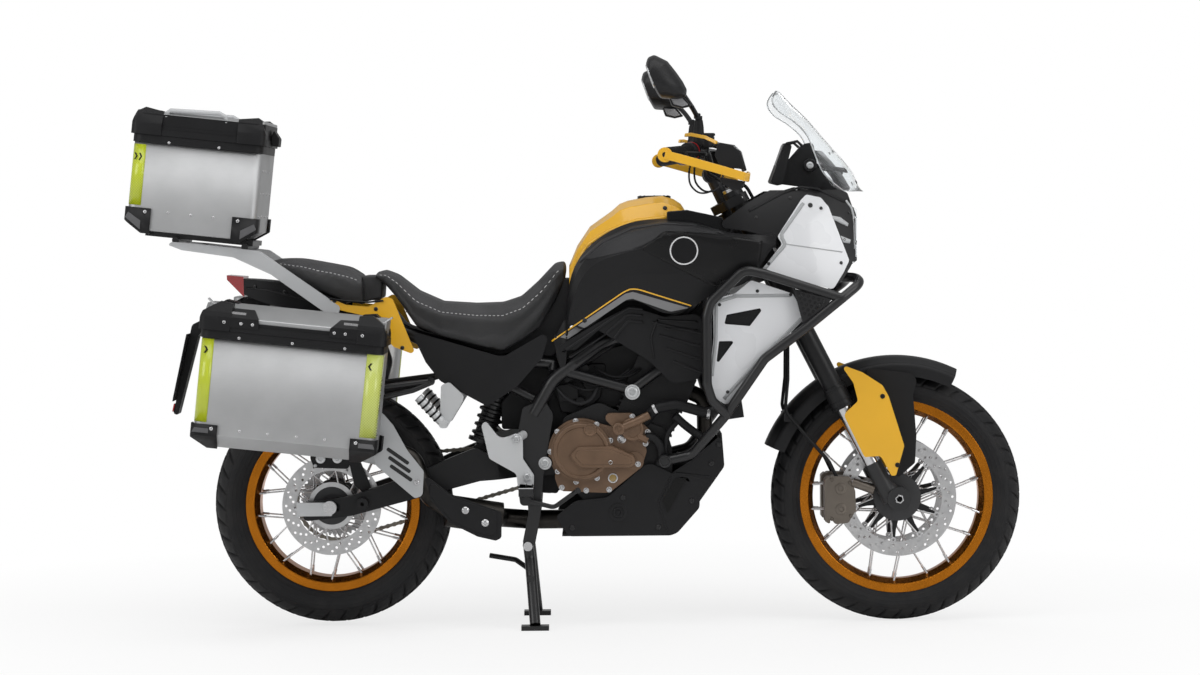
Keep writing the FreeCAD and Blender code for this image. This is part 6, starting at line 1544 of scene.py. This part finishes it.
def hoop(outer, inner, low, high):
    """A band between two plan outlines."""
    levels = [[(x, y, z) for x, y in plan] for plan, z in
              ((inner, low), (outer, low), (outer, high), (inner, high), (inner, low))]
    return Mould().grid(levels, closed=True)


def box_plan(half, near, far, radius, proud=0, near_proud=None, front=None):
    """Plan of a box, grown by proud all round, or by near_proud and front on its near side and front end."""
    inner = near - (proud if near_proud is None else near_proud)
    ahead = half + (proud if front is None else front)
    return soft([(-half - proud, inner, radius), (ahead, inner, radius), (ahead, far + proud, radius),
                 (-half - proud, far + proud, radius)], 6)


def reflective(name, colour):
    """Prismatic reflective tape: small rows of cells under a clear coat."""
    made = Finish(name, colour, 0.3, 0.0, Coat_Weight=0.5)
    cells = (made.along((1, 0, 0)) * 900).sine()
    rows = (made.along((0, 0, 1)) * 900).sine()
    weave = (cells * rows).ramp(-1.0, 1.0)
    made.feed(Base_Color=made.mix(weave, tuple(c * 0.8 for c in colour), colour), Roughness=weave * 0.15 + 0.22)
    return made.bump(weave, 0.0002, 0.5).material


silver_paint = lacquer("silver_paint", (0.52, 0.53, 0.54), 0.36, 0.2)
satin_aluminium = metal("satin_aluminium", (0.50, 0.505, 0.51), 0.50, (0.05, 1, 1), 0.00005, 0.0012, 0.07)
lime_tape = reflective("lime_tape", (0.58, 0.67, 0.026))
pale_tape = reflective("pale_tape", (0.64, 0.72, 0.16))
cap_grey = satin_plastic("cap_grey", (0.13, 0.13, 0.135))
CASE_R = 22
CORNER_R = 18
CAP_PROUD = 7
CAP_THICK = 6
CAP_LONG = 62
CAP_DEEP = 40
CAP_TALL = 58
CUT_TALL = 23
UNDERCUT = 0.72
BAND_TALL = 20
SKIRT = 16
LEDGE = 25
BLOCK_LONG = 70
BLOCK_DEEP = 66
BLOCK_SHOULDER = 29
DIAGONAL = Vector((0.551, 0, -0.834))


def case(name, shell_node, lid_node, caps_node, place, half, near, far, low, rim, top, slope, lid_slope, crest, both):
    """Box, band, caps, lid and corner blocks of one piece of luggage, drawn level in its own place."""
    sides = [(far, 1), (near, -1)]
    trimmed = sides if both else sides[:1]
    near_proud = 1 if both else 0
    cuts = [((x * (half + 1), 0, low + CUT_TALL), (x * DIAGONAL.x, 0, DIAGONAL.z)) for x in (-1, 1)]
    under = Vector((0, UNDERCUT * slope, -slope)).normalized() if slope else None
    if slope:
        cuts.append(((0, far, low + UNDERCUT * slope), tuple(under)))
    bare = box_plan(half, near, far, CASE_R)
    shell = carved(bare, low, rim, cuts, [(0, 0, 1)])
    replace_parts(shell.piece(name + "_shell", satin_aluminium, "chassis", "box_aluminium", place, 3, wall=2.5),
                shell_node)
    band = hoop(box_plan(half, near, far, CASE_R + 4, 4, 4 * near_proud, 0.4), bare, rim - BAND_TALL, rim)
    band.piece(name + "_band", black_plastic, "chassis", "black_plastic", place, 1)
    caps = Mould()
    facets = Mould()
    fixings = Mould()
    for x in (-1, 1):
        for wall, way in sides:
            face_y = wall + way * CAP_THICK
            ends = sorted((x * (half - CAP_LONG), x * (half + CAP_PROUD)))
            reach = sorted((face_y, wall - way * CAP_DEEP))
            plan = [(ends[0], reach[0]), (ends[1], reach[0]), (ends[1], reach[1]), (ends[0], reach[1])]
            outer = [CORNER_R if (a * x > 0 and abs(a) > half and b == face_y) else 0 for a, b in plan]
            plan = soft([(a, b, r) for (a, b), r in zip(plan, outer)])
            trims = [((x * (half + CAP_PROUD), 0, low + CUT_TALL), (x * DIAGONAL.x, 0, DIAGONAL.z)),
                     ((x * (half - CAP_LONG), 0, low + CAP_TALL), (-x * 0.95, 0, 0.31))]
            if slope and way == 1:
                trims.append((tuple(Vector((0, far, low + UNDERCUT * slope)) + under * CAP_THICK), tuple(under)))
            inward = [(-x, 0, 0), (0, -way, 0), (0, 0, 1)]
            caps.join(carved(plan, low - 8, low + CAP_TALL, trims, inward))
            if way == 1 or both:
                corner = [(x * (half - 4), low + 44), (x * (half - 38), low + 24), (x * (half - 38), low + 1),
                          (x * (half + 3), low + 30)]
                if slope:
                    corner = [(x * (half - 4), low + 48), (x * (half - 40), low + 48), (x * (half - 40), low + 36),
                              (x * (half + 2), low + 36)]
                facets.prism(corner, face_y, face_y + way * 1.6)
                fixings.button((x * (half - 47), face_y, low + 48), (0, way, 0), 4.6, 2.4)
    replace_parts(caps.piece(name + "_caps", black_plastic, "chassis", "black_plastic", place, 1.5, wall=4),
                caps_node)
    facets.piece(name + "_cap_facets", cap_grey, "chassis", "black_plastic", place, 0.6)
    seam = rim + 0.6
    slopes = []
    for wall, way in trimmed:
        lean = Vector((0, way * lid_slope, 2.2 * lid_slope)).normalized()
        slopes.append(((0, wall, top - lid_slope), tuple(lean)))
    crown = carved(bare, seam, top, slopes, [(0, 0, -1)])
    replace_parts(crown.piece(name + "_crown", satin_aluminium, lid_node, "box_aluminium", place, 3, wall=2.5),
                lid_node)
    dark = Mould()
    for proud, foot, head in ((6, seam, seam + SKIRT), (3, seam + SKIRT, seam + LEDGE)):
        dark.join(hoop(box_plan(half, near, far, CASE_R + proud, proud, proud * near_proud), bare, foot, head))
    if both:
        dark.join(hoop(box_plan(half, near, far, CASE_R + 1, 1), bare, seam + LEDGE, top - lid_slope))
    peak = top + 8
    for x in (-1, 1):
        for wall, way in sides:
            proud_y = 10 if way == 1 or both else 0
            proud_x = 10 if x == -1 else 4
            ends = (x * (half - BLOCK_LONG), x * (half + proud_x))
            reach = (wall - way * BLOCK_DEEP, wall + way * proud_y)
            plan = soft([(ends[0], reach[0]), (ends[1], reach[0], 3), (ends[1], reach[1], CORNER_R),
                         (ends[0], reach[1], 3)])
            shoulder = seam + BLOCK_SHOULDER
            crest_x = x * (half - crest)
            crest_y = wall - way * crest
            bevels = [((ends[1], 0, shoulder), (x * 0.93, 0, 0.37)), ((crest_x, 0, peak), (x * 0.55, 0, 0.83)),
                      ((crest_x, 0, peak), (-x * 0.16, 0, 0.98))]
            if proud_y:
                bevels += [((0, reach[1], shoulder), (0, way * 0.93, 0.37)),
                           ((0, crest_y, peak), (0, way * 0.55, 0.83)),
                           ((0, crest_y, peak), (0, -way * 0.16, 0.98))]
            dark.join(carved(plan, seam, peak + 1, bevels, [(0, 0, -1)]))
    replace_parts(dark.piece(name + "_lid_trim", black_plastic, lid_node, "black_plastic", place, 2.5), lid_node)
    return fixings


def tape(name, finish, place, half, far, way, end, span, wrap, low, high):
    """A strip on the side face that turns the rounded corner onto the end face."""
    proud = 0.9
    path = [(end * (half - span), far + way * proud), (end * (half - CASE_R), far + way * proud)]
    for i in range(1, 7):
        turn = math.radians(90 * i / 6)
        path.append((end * (half - CASE_R + (CASE_R + proud) * math.sin(turn)),
                     far + way * (proud - (CASE_R + proud) * (1 - math.cos(turn)))))
    path.append((end * (half + proud), far - way * wrap))
    rows = [[(x, y, z) for x, y in path] for z in (low, high)]
    Mould().grid(rows).piece(name, finish, "chassis", "yellow_paint", place, wall=0.8)


def level(x, z, pitch, side):
    """Where a box's own level drawing stands on the machine; side mirrors it."""
    turn = Matrix.Rotation(math.radians(pitch), 4, "Y")
    return Matrix.Translation((x, 0, z)) @ turn @ Matrix.Diagonal((1, side, 1, 1))


PANNIER_HALF = 230
PANNIER_FAR = 440
PANNIER_LOW = -170
for side, label in SIDES:
    place = level(-724, 651, 6.2, side)
    lid = label + "_pannier_lid"
    name = label + "_case"
    fixings = case(name, label + "_pannier", lid, label + "_pannier_corners", place, PANNIER_HALF, 224,
                   PANNIER_FAR, PANNIER_LOW, 126, 193, 44, 31, 38, False)
    for x in (-112, -41, 32, 104):
        fixings.button((x, PANNIER_FAR, -122), (0, 1, 0), 3.4, 1.8)
    for x in (-135, 0, 133):
        fixings.button((x, PANNIER_FAR + 4, 112), (0, 1, 0), 3.6, 1.8)
    fixings.piece(name + "_fixings", bright_steel, "chassis", "bolt_steel", place)
    tape(name + "_rear_tape", lime_tape, place, PANNIER_HALF, PANNIER_FAR, 1, -1, 33, 60, -107, 104)
    tape(name + "_front_tape", pale_tape, place, PANNIER_HALF, PANNIER_FAR, 1, 1, 40, 60, -107, 104)
    marks = Mould()
    for x, z, way in ((-217, 76, 1), (202, 73, -1)):
        chevron = [(-4, 9), (1, 9), (7, 0), (1, -9), (-4, -9), (2, 0)]
        marks.prism([(x + way * a, z + b) for a, b in chevron], PANNIER_FAR + 1, PANNIER_FAR + 1.5)
    marks.piece(name + "_chevrons", black_plastic, "chassis", "black_plastic", place)
    lid_dark = Mould()
    lid_bright = Mould()
    for outline, screws, slot in (([(-199, 138), (-189, 184), (-114, 196), (-90, 164), (-88, 138)],
                                   (-176, -133, -104), (-168, -124)),
                                  ([(91, 138), (91, 158), (113, 182), (178, 185), (185, 138)],
                                   (103, 131, 174), (124, 165))):
        left, right = outline[0][0], outline[-1][0]
        plan = [(left, 400), (right, 400), (right, PANNIER_FAR + 9), (left, PANNIER_FAR + 9)]
        lean = Vector((0, 31, 68)).normalized()
        trims = [((0, PANNIER_FAR + 5, 165), tuple(lean))]
        for (a, b), (c, d) in zip(outline, outline[1:]):
            trims.append(((a, 0, b), (b - d, 0, c - a)))
        lid_dark.join(carved(plan, 138, 199, trims, [(0, 0, -1)]))
        for x in screws:
            lid_bright.button((x, PANNIER_FAR + 9, 149), (0, 1, 0), 4, 2)
        lid_bright.prism([(slot[0], 171), (slot[1], 171), (slot[1], 177), (slot[0], 177)], PANNIER_FAR - 20,
                         PANNIER_FAR - 7)
    lid_dark.piece(name + "_brackets", black_plastic, lid, "black_plastic", place, 1.2)
    for path in ([(-205, 400, 186), (-226, 400, 203), (-226, 380, 203), (-205, 380, 186)],
                 [(221, 400, 184), (241, 400, 200), (241, 380, 200), (221, 380, 184)]):
        lid_bright.tube(path, 2.4, 8)
    lid_bright.piece(name + "_lid_fixings", bright_steel, lid, "bolt_steel", place)

TOP_HALF = 168
TOP_FAR = 172
place = level(-986, 1161, 6.3, 1)
fixings = case("top_case", "top_box", "top_box_lid", "top_box_corners", place, TOP_HALF, -TOP_FAR, TOP_FAR, -124, 124,
               188, 0, 8, 21, True)
handles = Mould()
for way, label in ((-1, "right"), (1, "left")):
    face = way * TOP_FAR
    for x in (-62, -3, 56):
        fixings.button((x, face, -73), (0, way, 0), 3.4, 1.8)
    for x in (-76, 54):
        fixings.button((x, face + way * 4, 108), (0, way, 0), 3.6, 1.8)
    tape("top_case_" + label + "_rear_tape", lime_tape, place, TOP_HALF, face, way, -1, 34, 50, -60, 98)
    marks = Mould()
    for x in (-160, -148):
        marks.prism([(x - 3, 75), (x + 1, 75), (x + 6, 66), (x + 1, 57), (x - 3, 57), (x + 2, 66)],
                    face + way, face + way * 1.5)
    marks.piece("top_case_" + label + "_chevron", black_plastic, "chassis", "black_plastic", place)
    handles.tube([(-90, face - way * 14, 172), (-90, face - way * 10, 184), (-82, face - way * 9, 192),
                  (46, face - way * 9, 197), (62, face - way * 10, 190), (66, face - way * 14, 172)], 6, 12)
    for x in (-90, 66):
        handles.spin([(0, 15), (4, 15), (6, 12), (6, 0)], (x, face - way * 14, 176), 20, (0, way * 0.3, 1))
handles.piece("top_case_handles", silver_paint, "top_box_lid", "silver_cast", place, 0.8)
for y in (-120, -40, 40, 120):
    for z in (-60, 0, 60):
        fixings.button((TOP_HALF, y, z), (1, 0, 0), 3.2, 1.6)
fixings.piece("top_case_fixings", bright_steel, "chassis", "bolt_steel", place)
latch = Mould().prism([(172, 152), (178, 170), (194, 150), (194, 128), (176, 128)], -34, 34)
latch.piece("top_case_latch", black_plastic, "top_box_lid", "black_plastic", place, 2)
lock = Mould().prism([(-182, 54), (-175, 52), (-169, 60), (-169, 74), (-178, 76)], -26, 26)
lock.prism([(-176, 78), (-169, 78), (-169, 102), (-173, 102)], -20, 20)
lock.piece("top_case_lock", black_plastic, "chassis", "black_plastic", place, 1.5)
dress("pannier_rails", black_steel)
dress("rack_arms", silver_paint)
stays = Mould()
for side in (1, -1):
    stays.tube([(-520, side * 176, 634), (-450, side * 172, 643), (-376, side * 168, 652)], 7, 12)
    stays.tube([(-520, side * 176, 606), (-424, side * 172, 628), (-376, side * 168, 648)], 7, 12)
    stays.button((-378, side * 164, 651), (0, side, 0), 11, 12, 20)
stays.piece("pannier_stays", black_steel, "chassis", "black_steel")
